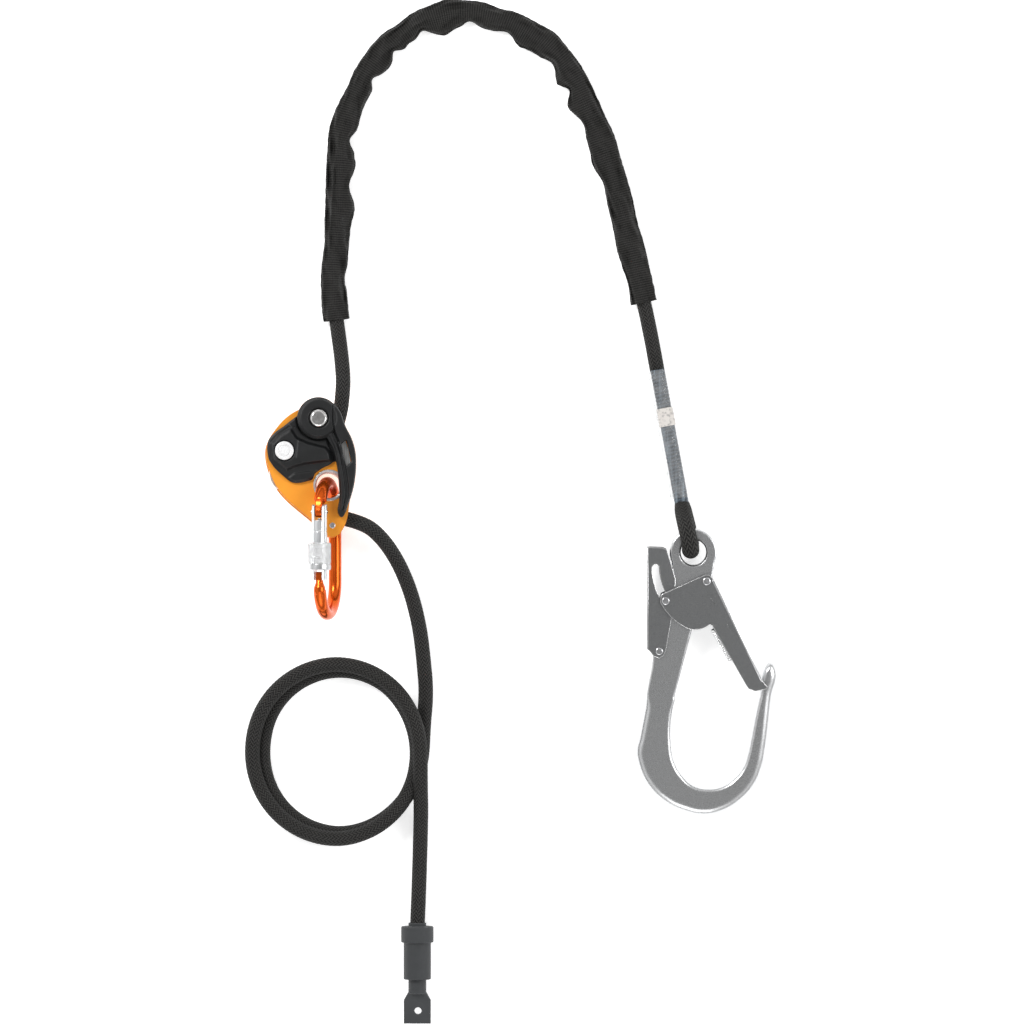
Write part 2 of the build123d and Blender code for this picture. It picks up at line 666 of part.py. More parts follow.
with BuildPart() as lever_pivot:
    stack(
        HOOK,
        LEVER_PIVOT,
        [
            (3.1, -LEVER_OUT - 1.2, -LEVER_OUT),
            (PIN_R, -LEVER_OUT, LEVER_OUT),
            (3.1, LEVER_OUT, LEVER_OUT + 1.2),
        ],
    )
    dome(lever_pivot, HOOK, 0.9)
lever_pivot.part.label = "lever_pivot"
export_step(lever_pivot.part, "parts/lever_pivot.step")

with BuildPart() as hook_gate_spring:
    coil(HOOK, GATE_PIVOT, 7.2, 1.1, 1.1, 3.6, 0.45)
hook_gate_spring.part.label = "hook_gate_spring"
export_step(hook_gate_spring.part, "parts/hook_gate_spring.step")

SPRING_SEAT = Plane(
    origin=HOOK.from_local_coords((-35.9, -62.0, 0)), x_dir=HOOK.y_dir, z_dir=HOOK.x_dir
)
with BuildPart() as lever_spring:
    coil(SPRING_SEAT, (0, 0), 0.5, 6, 1.7, 2.4, 0.4)
    add(hook_body.part, mode=Mode.SUBTRACT)
lever_spring.part.label = "lever_spring"
export_step(lever_spring.part, "parts/lever_spring.step")


# ---- rope: routes of its centre line ----
IN_GRAB = [(11.0, 68.0), (8.5, 46.0), (-19.5, 12.0), (-17.5, -19.0), (14.6, -27.0)]
in_grab_route = [GRAB.from_local_coords((u, v, 0)) for u, v in IN_GRAB]

top_way = (in_grab_route[0] - in_grab_route[1]).normalized()
low_way = (in_grab_route[-1] - in_grab_route[-2]).normalized()
SPLICE_AXIS = (SPLICE_BOTTOM - SPLICE_TOP).normalized()

UPPER_ROUTE = [
    in_grab_route[0],
    in_grab_route[0] + top_way * 13.0,
    (26.2, 113.0, 17.2),
    (24.2, 130.0, 9.8),
    (21.6, 148.0, 7.0),
    (18.6, 172.0, 7.0),
    (19.2, 205.0, 7.0),
    (22.6, 244.0, 7.0),
    (22.8, 283.0, 7.0),
    (27.2, 315.0, 7.0),
    (41.0, 350.0, 7.0),
    (66.0, 384.0, 7.0),
    (101.0, 404.4, 7.0),
    (142.0, 406.4, 7.0),
    (180.0, 390.5, 7.0),
    (210.0, 364.0, 7.0),
    (229.0, 324.0, 7.0),
    (245.0, 281.0, 7.0),
    (258.0, 235.0, 7.0),
    (268.5, 189.0, 7.0),
    SPLICE_TOP - SPLICE_AXIS * 33.4,
    SPLICE_TOP,
]
TAIL_ROUTE = [
    in_grab_route[-1],
    in_grab_route[-1] + low_way * 15.0,
    (56.5, -22.4, 22.4),
    (67.6, -37.4, 15.2),
    (76.4, -55.0, 9.0),
    (83.6, -75.0, 6.0),
    (89.4, -100.0, 6.0),
    (92.4, -126.0, 6.0),
    (94.6, -152.0, 6.0),
    (92.2, -178.0, 6.0),
]
END_ROUTE = [
    (89.9, -226.0, 17.0),
    (90.3, -246.0, 14.2),
    (89.8, -266.0, 8.6),
    (89.2, -286.0, 6.0),
    (88.6, -306.0, 7.4),
    (88.0, -325.0, 12.0),
    (STOP_X, STOP_TOP - 4.0, STOP_Z),
]
EYE_X = 310.8
EYE_Y = -32.8
EYE_ROUTE = [
    SPLICE_BOTTOM + Vector(0, 0, SPLICE_PITCH),
    (306.6, -12.0, 34.6),
    (EYE_X, EYE_Y, 34.6),
    (EYE_X, EYE_Y, SPLICE_Z),
    SPLICE_BOTTOM,
]


def rope_tube(name, route, snug=None):
    """A round rope along straight runs joined by tangent arcs; returns its length."""
    radii = corner_radii(route, snug)
    print(name, "radii", [round(r) for r in radii])
    with BuildLine() as line:
        FilletPolyline(*route, radius=radii)
    with BuildSketch(Plane(origin=line.line @ 0, z_dir=line.line % 0)) as section:
        Circle(ROPE_R)
    sweep(section.sketch, path=line.line)
    return sum(edge.length for edge in line.edges())


with BuildPart() as rope_in_grab:
    length = rope_tube("rope_in_grab", in_grab_route)
report_cord("rope_in_grab", rope_in_grab.part, length)
rope_in_grab.part.label = "rope_in_grab"
export_step(rope_in_grab.part, "parts/rope_in_grab.step")

with BuildPart() as rope_upper:
    length = rope_tube("rope_upper", UPPER_ROUTE)
report_cord("rope_upper", rope_upper.part, length)
rope_upper.part.label = "rope_upper"
export_step(rope_upper.part, "parts/rope_upper.step")

with BuildPart() as rope_tail:
    length = rope_tube("rope_tail", TAIL_ROUTE)
report_cord("rope_tail", rope_tail.part, length)
rope_tail.part.label = "rope_tail"
export_step(rope_tail.part, "parts/rope_tail.step")

with BuildPart() as rope_end:
    length = rope_tube("rope_end", END_ROUTE)
report_cord("rope_end", rope_end.part, length)
rope_end.part.label = "rope_end"
export_step(rope_end.part, "parts/rope_end.step")

with BuildPart() as rope_eye:
    length = rope_tube("rope_eye", EYE_ROUTE, snug={2: 8.0, 3: 8.0})
report_cord("rope_eye", rope_eye.part, length)
rope_eye.part.label = "rope_eye"
export_step(rope_eye.part, "parts/rope_eye.step")

# ---- rope: two loose turns, as one ring of their outer shape ----
with BuildPart() as rope_loop:
    with BuildSketch(Plane.XY):
        with Locations(LOOP_AT):
            Circle(LOOP_OUT_R)
            Circle(LOOP_IN_R, mode=Mode.SUBTRACT)
    extrude(amount=LOOP_H)
    fillet(rope_loop.edges(), 5.0)
rope_loop.part.label = "rope_loop"
export_step(rope_loop.part, "parts/rope_loop.step")

# ---- webbing protector round the upper rope ----
PROTECTOR_W = 23.0
PROTECTOR_H = 14.0
PROTECTOR_ROUTE = [(21.0, 154.0, 7.0)] + UPPER_ROUTE[5:19] + [(272.8, 168.6, 7.0)]
with BuildPart() as rope_protector:
    with BuildLine() as protector_line:
        FilletPolyline(*PROTECTOR_ROUTE, radius=corner_radii(PROTECTOR_ROUTE))
    with BuildSketch(Plane(origin=protector_line.line @ 0, x_dir=(0, 0, 1), z_dir=protector_line.line % 0)):
        SlotOverall(PROTECTOR_W, PROTECTOR_H, rotation=90)
        Circle(ROPE_R + 0.4, mode=Mode.SUBTRACT)
    sweep(path=protector_line.line)
rope_protector.part.label = "rope_protector"
export_step(rope_protector.part, "parts/rope_protector.step")

# ---- sewn end: doubled rope, clear sheath and label ----
SPLICE_PLANE = Plane(origin=SPLICE_TOP, x_dir=(0, 0, 1), z_dir=SPLICE_AXIS)
SPLICE_L = (SPLICE_BOTTOM - SPLICE_TOP).length
with BuildPart() as sewn_splice:
    with BuildSketch(SPLICE_PLANE):
        with Locations((SPLICE_PITCH / 2, 0)):
            SlotOverall(ROPE_D + SPLICE_PITCH, ROPE_D)
    extrude(amount=SPLICE_L)
sewn_splice.part.label = "sewn_splice"
export_step(sewn_splice.part, "parts/sewn_splice.step")

with BuildPart() as clear_sheath:
    with BuildSketch(SPLICE_PLANE.offset(0.5)):
        with Locations((SPLICE_PITCH / 2, 0)):
            SlotOverall(ROPE_D + SPLICE_PITCH + 2 * SHEATH_T, ROPE_D + 2 * SHEATH_T)
            SlotOverall(ROPE_D + SPLICE_PITCH, ROPE_D, mode=Mode.SUBTRACT)
    extrude(amount=SPLICE_L - 7.0)
clear_sheath.part.label = "clear_sheath"
export_step(clear_sheath.part, "parts/clear_sheath.step")

LABEL_FROM = 32.0
LABEL_L = 15.0
with BuildPart() as splice_label:
    with BuildSketch(SPLICE_PLANE.offset(LABEL_FROM)):
        with Locations((SPLICE_PITCH / 2, 0)):
            SlotOverall(ROPE_D + SPLICE_PITCH + 2 * SHEATH_T + 0.5, ROPE_D + 2 * SHEATH_T + 0.5)
            SlotOverall(ROPE_D + SPLICE_PITCH + 2 * SHEATH_T, ROPE_D + 2 * SHEATH_T, mode=Mode.SUBTRACT)
        with Locations((SPLICE_PITCH / 2 - 10, 0)):
            Rectangle(22, 20, mode=Mode.SUBTRACT)
    extrude(amount=LABEL_L)
splice_label.part.label = "splice_label"
export_step(splice_label.part, "parts/splice_label.step")

# ---- moulded end stop with its holed tab ----
STOP = Plane(origin=(STOP_X, STOP_TOP, STOP_Z), x_dir=(1, 0, 0), z_dir=(0, -1, 0))
with BuildPart() as end_stop:
    stack(
        STOP,
        (0, 0),
        [(NECK_R, 0, 3.4), (FLANGE_R, 2.9, 16.0), (BARREL_R, 16.0, 46.3), (NECK_R, 46.0, 58.0)],
    )
    rims = end_stop.edges().filter_by(GeomType.CIRCLE)
    fillet(rims.filter_by(lambda e: e.radius > BARREL_R - 0.1), 0.9)
    with BuildSketch(STOP.offset(57.0)):
        RectangleRounded(15.0, 9.0, 2.0)
    with BuildSketch(STOP.offset(63.2)):
        RectangleRounded(TAB_W, TAB_T, 1.5)
    loft()
    with BuildSketch(STOP.offset(63.2)):
        RectangleRounded(TAB_W, TAB_T, 1.5)
    extrude(amount=19.2)
    with BuildSketch(Plane(origin=(STOP_X + 0.6, STOP_TOP - 72.0, 0))):
        Circle(HOLE_R)
    extrude(amount=2 * STOP_Z, mode=Mode.SUBTRACT)
    bore(STOP, (0, 0), ROPE_R + RUN, -1.0, 4.1)
end_stop.part.label = "end_stop"
export_step(end_stop.part, "parts/end_stop.step")
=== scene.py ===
"""Looks of the rope grab, its carabiner, rope and scaffold hook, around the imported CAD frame."""
from math import cos, pi, radians, sin, tau

import bmesh
import bpy
import numpy as np
from mathutils import Matrix, Vector
from mathutils import noise as perlin
from mathutils.kdtree import KDTree


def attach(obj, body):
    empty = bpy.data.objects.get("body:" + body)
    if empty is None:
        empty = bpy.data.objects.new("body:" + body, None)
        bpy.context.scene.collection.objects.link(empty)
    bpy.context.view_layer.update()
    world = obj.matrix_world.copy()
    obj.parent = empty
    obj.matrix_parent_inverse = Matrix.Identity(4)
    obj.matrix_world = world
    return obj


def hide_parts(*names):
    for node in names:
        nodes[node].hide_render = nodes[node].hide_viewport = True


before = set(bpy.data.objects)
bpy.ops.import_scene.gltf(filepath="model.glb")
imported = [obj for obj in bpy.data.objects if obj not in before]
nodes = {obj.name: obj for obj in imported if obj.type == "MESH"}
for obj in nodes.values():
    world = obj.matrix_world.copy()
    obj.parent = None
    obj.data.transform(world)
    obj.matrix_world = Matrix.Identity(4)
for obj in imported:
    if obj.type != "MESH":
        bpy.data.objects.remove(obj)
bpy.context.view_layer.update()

MM = 0.001
ROPE_R = 6.0


def place(origin, x_dir, normal):
    """A frame in millimetres as a matrix to metres."""
    z = Vector(normal).normalized()
    x = Vector(x_dir).normalized()
    turn = Matrix((x, z.cross(x), z)).transposed().to_4x4()
    return Matrix.Translation(Vector(origin) * MM) @ turn @ Matrix.Scale(MM, 4)


LEAN, PITCH = radians(5.0), radians(3.0)
GRAB = place(
    (14.8, 17.95, 28.0),
    (cos(LEAN), 0, -sin(LEAN)),
    (sin(LEAN) * cos(PITCH), sin(PITCH), cos(LEAN) * cos(PITCH)),
)
CARAB_LEAN = radians(12.3)
CARAB = place((14.0, 20.3, 30.9), (0, -1, 0), (-cos(CARAB_LEAN), 0, -sin(CARAB_LEAN)))
HOOK_TILT = radians(3.15)
HOOK = place((313.2, -36.1, 19.4), (1, 0, 0), (0, -sin(HOOK_TILT), cos(HOOK_TILT)))
HEAD_AT = (-9.0, 54.4)
CAM_AT = (-36.8, 27.9)


# ---- camera, floor and lights ----
def camera():
    """Straight down from far above, as wide as the lanyard."""
    view_width, distance, sensor = 0.8397, 5.0, 36.0
    data = bpy.data.cameras.new("camera")
    data.sensor_width = sensor
    data.lens = sensor * distance / view_width
    data.clip_end = 20.0
    eye = bpy.data.objects.new("camera", data)
    eye.location = (0.1648, -0.0033, distance + 0.01)
    bpy.context.collection.objects.link(eye)
    bpy.context.scene.camera = eye


def area_light(name, at, aim, size, power):
    data = bpy.data.lights.new(name, "AREA")
    data.size = size
    data.energy = power
    lamp = bpy.data.objects.new(name, data)
    lamp.location = at
    lamp.rotation_euler = (Vector(aim) - Vector(at)).to_track_quat("-Z", "Y").to_euler()
    bpy.context.collection.objects.link(lamp)


def studio():
    """Three soft lights, a banded sky for the metals to mirror, and white paper under it all."""
    middle = (0.16, 0.0, 0.02)
    area_light("key", (-0.9, 1.0, 1.5), middle, 0.7, 25.0)
    area_light("fill", (1.5, 0.1, 1.2), middle, 0.9, 11.0)
    area_light("low", (0.1, -1.6, 1.0), middle, 1.0, 6.0)
    banded_sky()
    paper_floor()
    bpy.context.scene.view_settings.view_transform = "Standard"


def banded_sky():
    """Grey bands by height: dark at the horizon, bright above it."""
    world = bpy.data.worlds.new("studio")
    world.use_nodes = True
    sky = world.node_tree.nodes["Background"]
    sky.inputs["Strength"].default_value = 0.62
    source = world.node_tree.nodes.new("ShaderNodeTexCoord")
    split = world.node_tree.nodes.new("ShaderNodeSeparateXYZ")
    bands = world.node_tree.nodes.new("ShaderNodeValToRGB")
    stops = [(0.0, 0.8), (0.5, 0.5), (0.54, 0.25), (0.66, 1.2), (0.84, 1.35), (0.93, 0.55), (1.0, 0.45)]
    for spot, _ in stops[1:-1]:
        bands.color_ramp.elements.new(spot)
    for element, (spot, level) in zip(bands.color_ramp.elements, stops):
        element.position = spot
        element.color = (level, level, level, 1.0)
    lifted = world.node_tree.nodes.new("ShaderNodeMath")
    lifted.operation = "MULTIPLY_ADD"
    lifted.inputs[1].default_value = 0.5
    lifted.inputs[2].default_value = 0.5
    world.node_tree.links.new(source.outputs["Generated"], split.inputs[0])
    world.node_tree.links.new(split.outputs[2], lifted.inputs[0])
    world.node_tree.links.new(lifted.outputs[0], bands.inputs[0])
    world.node_tree.links.new(bands.outputs[0], sky.inputs["Color"])
    bpy.context.scene.world = world


def paper_floor():
    """A white sheet that glows a little, so that it stays white."""
    half = 3.0
    corners = [(-half, -half, 0), (half, -half, 0), (half, half, 0), (-half, half, 0)]
    mesh = bpy.data.meshes.new("floor")
    mesh.from_pydata(corners, [], [(0, 1, 2, 3)])
    floor = bpy.data.objects.new("floor", mesh)
    bpy.context.collection.objects.link(floor)
    paper = Look("paper", Roughness=0.9)
    paper.colour(paper.blend(paper.noise(6.0), tint(247, 247, 247), tint(252, 252, 252)))
    paper.feed(paper.shader.inputs["Emission Color"], (1.0, 1.0, 1.0, 1.0))
    paper.feed(paper.shader.inputs["Emission Strength"], 0.5)
    mesh.materials.append(paper.material)


# ---- materials ----
def tint(red, green, blue):
    """A screen colour, 0 to 255, as the linear colour that shaders take."""
    parts = [channel / 255 for channel in (red, green, blue)]
    linear = [c / 12.92 if c <= 0.04045 else ((c + 0.055) / 1.055) ** 2.4 for c in parts]
    return (*linear, 1.0)


class Look:
    """One material, with short calls for its nodes."""

    def __init__(self, name, **sockets):
        self.material = bpy.data.materials.new(name)
        self.material.use_nodes = True
        self.tree = self.material.node_tree
        self.shader = self.tree.nodes["Principled BSDF"]
        for socket, value in sockets.items():
            self.shader.inputs[socket.replace("_", " ")].default_value = value

    def feed(self, socket, value):
        if isinstance(value, bpy.types.NodeSocket):
            self.tree.links.new(value, socket)
        else:
            socket.default_value = value

    def math(self, operation, *values):
        node = self.tree.nodes.new("ShaderNodeMath")
        node.operation = operation
        for socket, value in zip(node.inputs, values):
            self.feed(socket, value)
        return node.outputs[0]

    def coordinates(self, stretch):
        source = self.tree.nodes.new("ShaderNodeTexCoord")
        mapping = self.tree.nodes.new("ShaderNodeMapping")
        mapping.inputs["Scale"].default_value = stretch
        self.tree.links.new(source.outputs["Object"], mapping.inputs["Vector"])
        return mapping.outputs[0]

    def noise(self, scale, detail=3.0, stretch=(1, 1, 1)):
        node = self.tree.nodes.new("ShaderNodeTexNoise")
        node.inputs["Scale"].default_value = scale
        node.inputs["Detail"].default_value = detail
        self.tree.links.new(self.coordinates(stretch), node.inputs["Vector"])
        return node.outputs[0]

    def stretch_range(self, value, low, high, to_low=0.0, to_high=1.0):
        node = self.tree.nodes.new("ShaderNodeMapRange")
        for socket, number in zip(node.inputs, (value, low, high, to_low, to_high)):
            self.feed(socket, number)
        return node.outputs[0]

    def blend(self, factor, first, second):
        node = self.tree.nodes.new("ShaderNodeMix")
        node.data_type = "RGBA"
        self.feed(node.inputs[0], factor)
        self.feed(node.inputs[6], first)
        self.feed(node.inputs[7], second)
        return node.outputs[2]

    def round_uv(self):
        """Turn round a tube and reach along it, as separate values."""
        source = self.tree.nodes.new("ShaderNodeUVMap")
        source.uv_map = "UVMap"
        split = self.tree.nodes.new("ShaderNodeSeparateXYZ")
        self.tree.links.new(source.outputs[0], split.inputs[0])
        return split.outputs[0], split.outputs[1]

    def bevelled(self, radius):
        """The normal as it would be with rounded edges."""
        bevel = self.tree.nodes.new("ShaderNodeBevel")
        bevel.samples = 6
        bevel.inputs["Radius"].default_value = radius
        return bevel.outputs[0]

    def edges(self, radius):
        """1 on outer and inner edges, 0 on flat faces."""
        geometry = self.tree.nodes.new("ShaderNodeNewGeometry")
        dot = self.tree.nodes.new("ShaderNodeVectorMath")
        dot.operation = "DOT_PRODUCT"
        self.tree.links.new(self.bevelled(radius), dot.inputs[0])
        self.tree.links.new(geometry.outputs["Normal"], dot.inputs[1])
        return self.stretch_range(dot.outputs["Value"], 0.995, 0.93)

    def bump(self, height, distance, radius=None):
        node = self.tree.nodes.new("ShaderNodeBump")
        node.inputs["Distance"].default_value = distance
        self.feed(node.inputs["Height"], height)
        if radius:
            self.tree.links.new(self.bevelled(radius), node.inputs["Normal"])
        self.tree.links.new(node.outputs[0], self.shader.inputs["Normal"])

    def colour(self, value):
        self.feed(self.shader.inputs["Base Color"], value)

    def roughness(self, value):
        self.feed(self.shader.inputs["Roughness"], value)


def anodised(name, pale, edge_shade, metallic, rough):
    """Dyed aluminium with a fine blasted grain; its edges are painted darker and browner as shade."""
    look = Look(name, Metallic=metallic)
    grain = look.noise(2600.0, 2.0)
    cloud = look.noise(60.0, 3.0)
    face = look.blend(look.stretch_range(cloud, 0.3, 0.7), pale, tuple(0.93 * c for c in pale[:3]) + (1.0,))
    # Painted shade: the edges are blended to the darker, browner second colour.
    look.colour(look.blend(look.edges(0.0006), face, edge_shade))
    look.roughness(look.stretch_range(grain, 0.3, 0.7, rough - 0.06, rough + 0.06))
    look.bump(grain, 0.00002, 0.0004)
    return look.material


def metal(
    name, dark, bright, rough, grain_scale,
    stretch=(1, 1, 1), edge=0.0006, rim=(240, 240, 240), bare=1.0, dents=0.0,
):
    """Metal with streaks or specks, and edges that are smoother and painted in the light rim colour as a
    highlight; dents, in metres, take the grain's place.
    """
    look = Look(name, Metallic=bare)
    grain = look.noise(grain_scale, 3.0, stretch)
    face = look.blend(look.stretch_range(grain, 0.35, 0.65), tint(*dark), tint(*bright))
    edges = look.edges(edge)
    # Painted highlight: the edges are blended to the light rim colour.
    look.colour(look.blend(edges, face, tint(*rim)))
    worn = look.stretch_range(grain, 0.3, 0.7, rough - 0.07, rough + 0.07)
    look.roughness(look.math("MULTIPLY", worn, look.stretch_range(edges, 0.0, 1.0, 1.0, 0.55)))
    if dents:
        look.bump(look.noise(120.0, 1.0), dents)
    else:
        look.bump(grain, 0.00002, edge)
    return look.material


def moulded():
    """Black glass-filled plastic with a fine spark-eroded texture."""
    look = Look("black_moulded", Specular_IOR_Level=0.4)
    pits = look.noise(1700.0, 2.0)
    cloud = look.noise(90.0, 4.0)
    # Painted highlight: the edges, in patches set by the cloud, are blended to a lighter grey.
    painted_edge_highlight = look.math("MULTIPLY", look.edges(0.0007), look.stretch_range(cloud, 0.35, 0.6))
    face = look.blend(look.stretch_range(cloud, 0.3, 0.7), tint(14, 15, 16), tint(24, 25, 26))
    look.colour(look.blend(painted_edge_highlight, face, tint(70, 72, 74)))
    look.roughness(look.stretch_range(pits, 0.3, 0.7, 0.38, 0.52))
    look.bump(pits, 0.00004, 0.0005)
    return look.material


def rubber():
    look = Look("rubber_grey")
    pits = look.noise(900.0, 4.0)
    cloud = look.noise(70.0, 4.0)
    face = look.blend(look.stretch_range(cloud, 0.3, 0.7), tint(44, 46, 48), tint(56, 58, 60))
    # Painted highlight: the edges are blended to a lighter grey.
    look.colour(look.blend(look.edges(0.0008), face, tint(90, 92, 94)))
    look.roughness(look.stretch_range(cloud, 0.3, 0.7, 0.55, 0.75))
    look.bump(pits, 0.00006, 0.0006)
    return look.material


STRANDS = 16
LAY = 3.3


def braided(name, gap_shade, yarn, shine):
    """A two-over, two-under sheath: crossing yarns in chevron columns."""
    look = Look(name, Specular_IOR_Level=shine)
    turn, reach = look.round_uv()
    round_way = look.math("MULTIPLY", turn, float(STRANDS))
    first = look.math("ADD", round_way, reach)
    second = look.math("SUBTRACT", round_way, reach)
    column = look.math("ADD", look.math("FLOOR", first), look.math("FLOOR", second))
    over = look.math("LESS_THAN", look.math("FLOORED_MODULO", column, 4.0), 1.5)
    across_first = look.math("SINE", look.math("MULTIPLY", look.math("FRACT", first), pi))
    across_second = look.math("SINE", look.math("MULTIPLY", look.math("FRACT", second), pi))
    pick = look.tree.nodes.new("ShaderNodeMix")
    look.feed(pick.inputs[0], over)
    look.feed(pick.inputs[2], across_second)
    look.feed(pick.inputs[3], across_first)
    height = pick.outputs[0]
    fuzz = look.noise(1500.0, 3.0)
    # Painted shade and sheen: colour follows the yarns' height, with the near-black first colour in the
    # hollows between yarns and the lighter yarn colour on the crests.
    relief_shading = look.math("MULTIPLY", height, look.stretch_range(fuzz, 0.25, 0.75, 0.55, 1.1))
    look.colour(look.blend(look.stretch_range(relief_shading, 0.35, 0.95), tint(*gap_shade), tint(*yarn)))
    look.roughness(look.stretch_range(fuzz, 0.3, 0.7, 0.5, 0.75))
    look.bump(look.math("ADD", height, look.math("MULTIPLY", fuzz, 0.3)), 0.00035)
    return look.material


def webbing():
    """Tubular webbing: ribs across, fine yarns along, painted shade in their hollows and a soft painted sheen
    in pale cloudy patches.
    """
    look = Look("webbing_black", Specular_IOR_Level=0.25)
    turn, reach = look.round_uv()
    rib = look.math("SINE", look.math("MULTIPLY", reach, tau))
    yarn = look.math("SINE", look.math("MULTIPLY", turn, 64 * tau))
    weave = look.math("ADD", rib, look.math("MULTIPLY", yarn, 0.45))
    cloud = look.noise(140.0, 4.0)
    # Painted shade: darker in the rib and yarn hollows. Painted sheen: pale patches from the cloud.
    dark = look.blend(look.stretch_range(weave, -1.0, 1.3), tint(8, 8, 8), tint(48, 47, 45))
    look.colour(look.blend(look.stretch_range(cloud, 0.45, 0.8, 0.0, 0.3), dark, tint(58, 57, 55)))
    look.roughness(look.stretch_range(cloud, 0.3, 0.7, 0.62, 0.8))
    look.bump(weave, 0.00018)
    return look.material


def sewn():
    """Rope end sewn flat under its sheath: grey-blue, with lengthwise stitches."""
    look = Look("rope_sewn")
    turn, reach = look.round_uv()
    yarn = look.math("SINE", look.math("MULTIPLY", turn, 26 * tau))
    stitch = look.math("SINE", look.math("MULTIPLY", look.math("ADD", reach, turn), 1.1 * tau))
    cloud = look.noise(300.0, 3.0, (1.0, 0.05, 1.0))
    weave = look.math("ADD", look.math("MULTIPLY", yarn, 0.6), look.math("MULTIPLY", stitch, 0.7))
    # Painted shade: darker where the yarns and stitches dip. Painted highlights: lighter lengthwise streaks
    # from the stretched cloud.
    face = look.blend(look.stretch_range(weave, -1.0, 1.2), tint(26, 31, 36), tint(80, 92, 104))
    look.colour(look.blend(look.stretch_range(cloud, 0.45, 0.75), face, tint(132, 146, 158)))
    look.roughness(0.6)
    look.bump(weave, 0.0003)
    return look.material


def clear_film():
    look = Look("clear_plastic", Roughness=0.12, IOR=1.5)
    haze = look.noise(160.0, 4.0)
    look.colour(look.blend(haze, tint(214, 212, 208), tint(186, 190, 194)))
    look.feed(look.shader.inputs["Alpha"], look.stretch_range(haze, 0.35, 0.7, 0.12, 0.3))
    look.bump(look.noise(260.0, 3.0), 0.0004)
    return look.material


def label():
    look = Look("label_white", Roughness=0.5)
    scuffs = look.noise(420.0, 5.0)
    look.colour(look.blend(look.stretch_range(scuffs, 0.5, 0.7), tint(208, 203, 198), tint(150, 147, 145)))
    look.bump(scuffs, 0.0001)
    return look.material


# ---- meshes ----
def finish_piece(name, mesh, body, material, sharp=35.0, replace=()):
    """Link a mesh as a piece that rides on a body."""
    mesh.name = name
    piece = bpy.data.objects.new(name, mesh)
    bpy.context.collection.objects.link(piece)
    mesh.materials.clear()
    mesh.materials.append(material)
    mesh.polygons.foreach_set("use_smooth", [True] * len(mesh.polygons))
    mesh.set_sharp_from_angle(angle=radians(sharp))
    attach(piece, body)
    if replace:
        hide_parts(*replace)
    return piece


def grid_mesh(rings, reach, closed=True):
    """A skin through rings of points, with u round it and v along it; closed fills both ends."""
    rings = np.asarray(rings)
    rows, around = rings.shape[:2]
    row = np.arange(rows - 1)[:, None] * around
    col = np.arange(around)[None, :]
    after = (col + 1) % around
    quads = np.stack([row + col, row + after, row + around + after, row + around + col], -1).reshape(-1, 4)
    faces = quads.tolist()
    if closed:
        faces.append(list(range(around)))
        faces.append(list(range((rows - 1) * around, rows * around)))
    mesh = bpy.data.meshes.new("grid")
    mesh.from_pydata(rings.reshape(-1, 3).tolist(), [], faces)
    turns = np.stack([col, col + 1, col + 1, col], -1) / around
    lengths = np.stack([reach[:-1], reach[:-1], reach[1:], reach[1:]], -1)
    uv = np.empty((rows - 1, around, 4, 2))
    uv[..., 0] = turns
    uv[..., 1] = np.asarray(lengths)[:, None, :]
    flat = np.zeros((len(mesh.loops), 2))
    flat[: uv.size // 2] = uv.reshape(-1, 2)
    layer = mesh.uv_layers.new(name="UVMap")
    layer.data.foreach_set("uv", flat.ravel())
    outward(mesh)
    return mesh


def outward(mesh):
    form = bmesh.new()
    form.from_mesh(mesh)
    bmesh.ops.recalc_face_normals(form, faces=form.faces)
    form.to_mesh(mesh)
    form.free()


def smooth_line(route, step):
    """A route's NURBS line, from millimetres to evenly spaced points in metres."""
    curve = bpy.data.curves.new("route", "CURVE")
    curve.dimensions = "3D"
    curve.resolution_u = 32
    spline = curve.splines.new("NURBS")
    spline.points.add(len(route) - 1)
    for point, at in zip(spline.points, route):
        point.co = (*(MM * c for c in at), 1.0)
    spline.order_u = 3
    spline.use_endpoint_u = True
    holder = bpy.data.objects.new("route", curve)
    mesh = bpy.data.meshes.new_from_object(holder)
    points = np.array([vertex.co for vertex in mesh.vertices])
    bpy.data.objects.remove(holder)
    bpy.data.meshes.remove(mesh)
    bpy.data.curves.remove(curve)
    reach = measure(points)
    even = np.linspace(0.0, reach[-1], round(reach[-1] / (step * MM)) + 1)
    return np.column_stack([np.interp(even, reach, points[:, axis]) for axis in range(3)])


def measure(points):
    """Reach of each point along a line, in metres."""
    return np.concatenate([[0.0], np.cumsum(np.linalg.norm(np.diff(points, axis=0), axis=1))])


def carried_frames(points):
    """Side and lift directions along a line, without twist; side starts level."""
    tangent = np.gradient(points, axis=0)
    tangent /= np.linalg.norm(tangent, axis=1)[:, None]
    side = np.empty_like(points)
    side[0] = np.cross(tangent[0], (0.0, 0.0, 1.0))
    for i in range(len(points)):
        held = side[max(i - 1, 0)]
        held = held - tangent[i] * held.dot(tangent[i])
        side[i] = held / np.linalg.norm(held)
    return side, np.cross(side, tangent)


def braid_height(turn, reach):
    """How far the top yarn stands out, 0 to 1, as braided() draws it."""
    first = STRANDS * turn + reach / (LAY * MM)
    second = STRANDS * turn - reach / (LAY * MM)
    over = np.mod(np.floor(first) + np.floor(second), 4) < 1.5
    return np.sin(pi * np.mod(np.where(over, first, second), 1.0))


def rope(name, points, body, material, replace=(), around=64, pressed=None):
    """A braided rope along a line of points; pressed is how much thinner it is at each, in mm."""
    side, lift = carried_frames(points)
    reach = measure(points)
    turn = np.arange(around) / around
    relief = braid_height(turn[None, :], reach[:, None])
    size = (ROPE_R - 0.2 + 0.3 * relief) * MM
    if pressed is not None:
        size = size - pressed[:, None] * MM
    angle = tau * turn
    out = side[:, None, :] * np.cos(angle)[None, :, None] + lift[:, None, :] * np.sin(angle)[None, :, None]
    mesh = grid_mesh(points[:, None, :] + out * size[..., None], reach / (LAY * MM))
    return finish_piece(name, mesh, body, material, 80.0, replace)


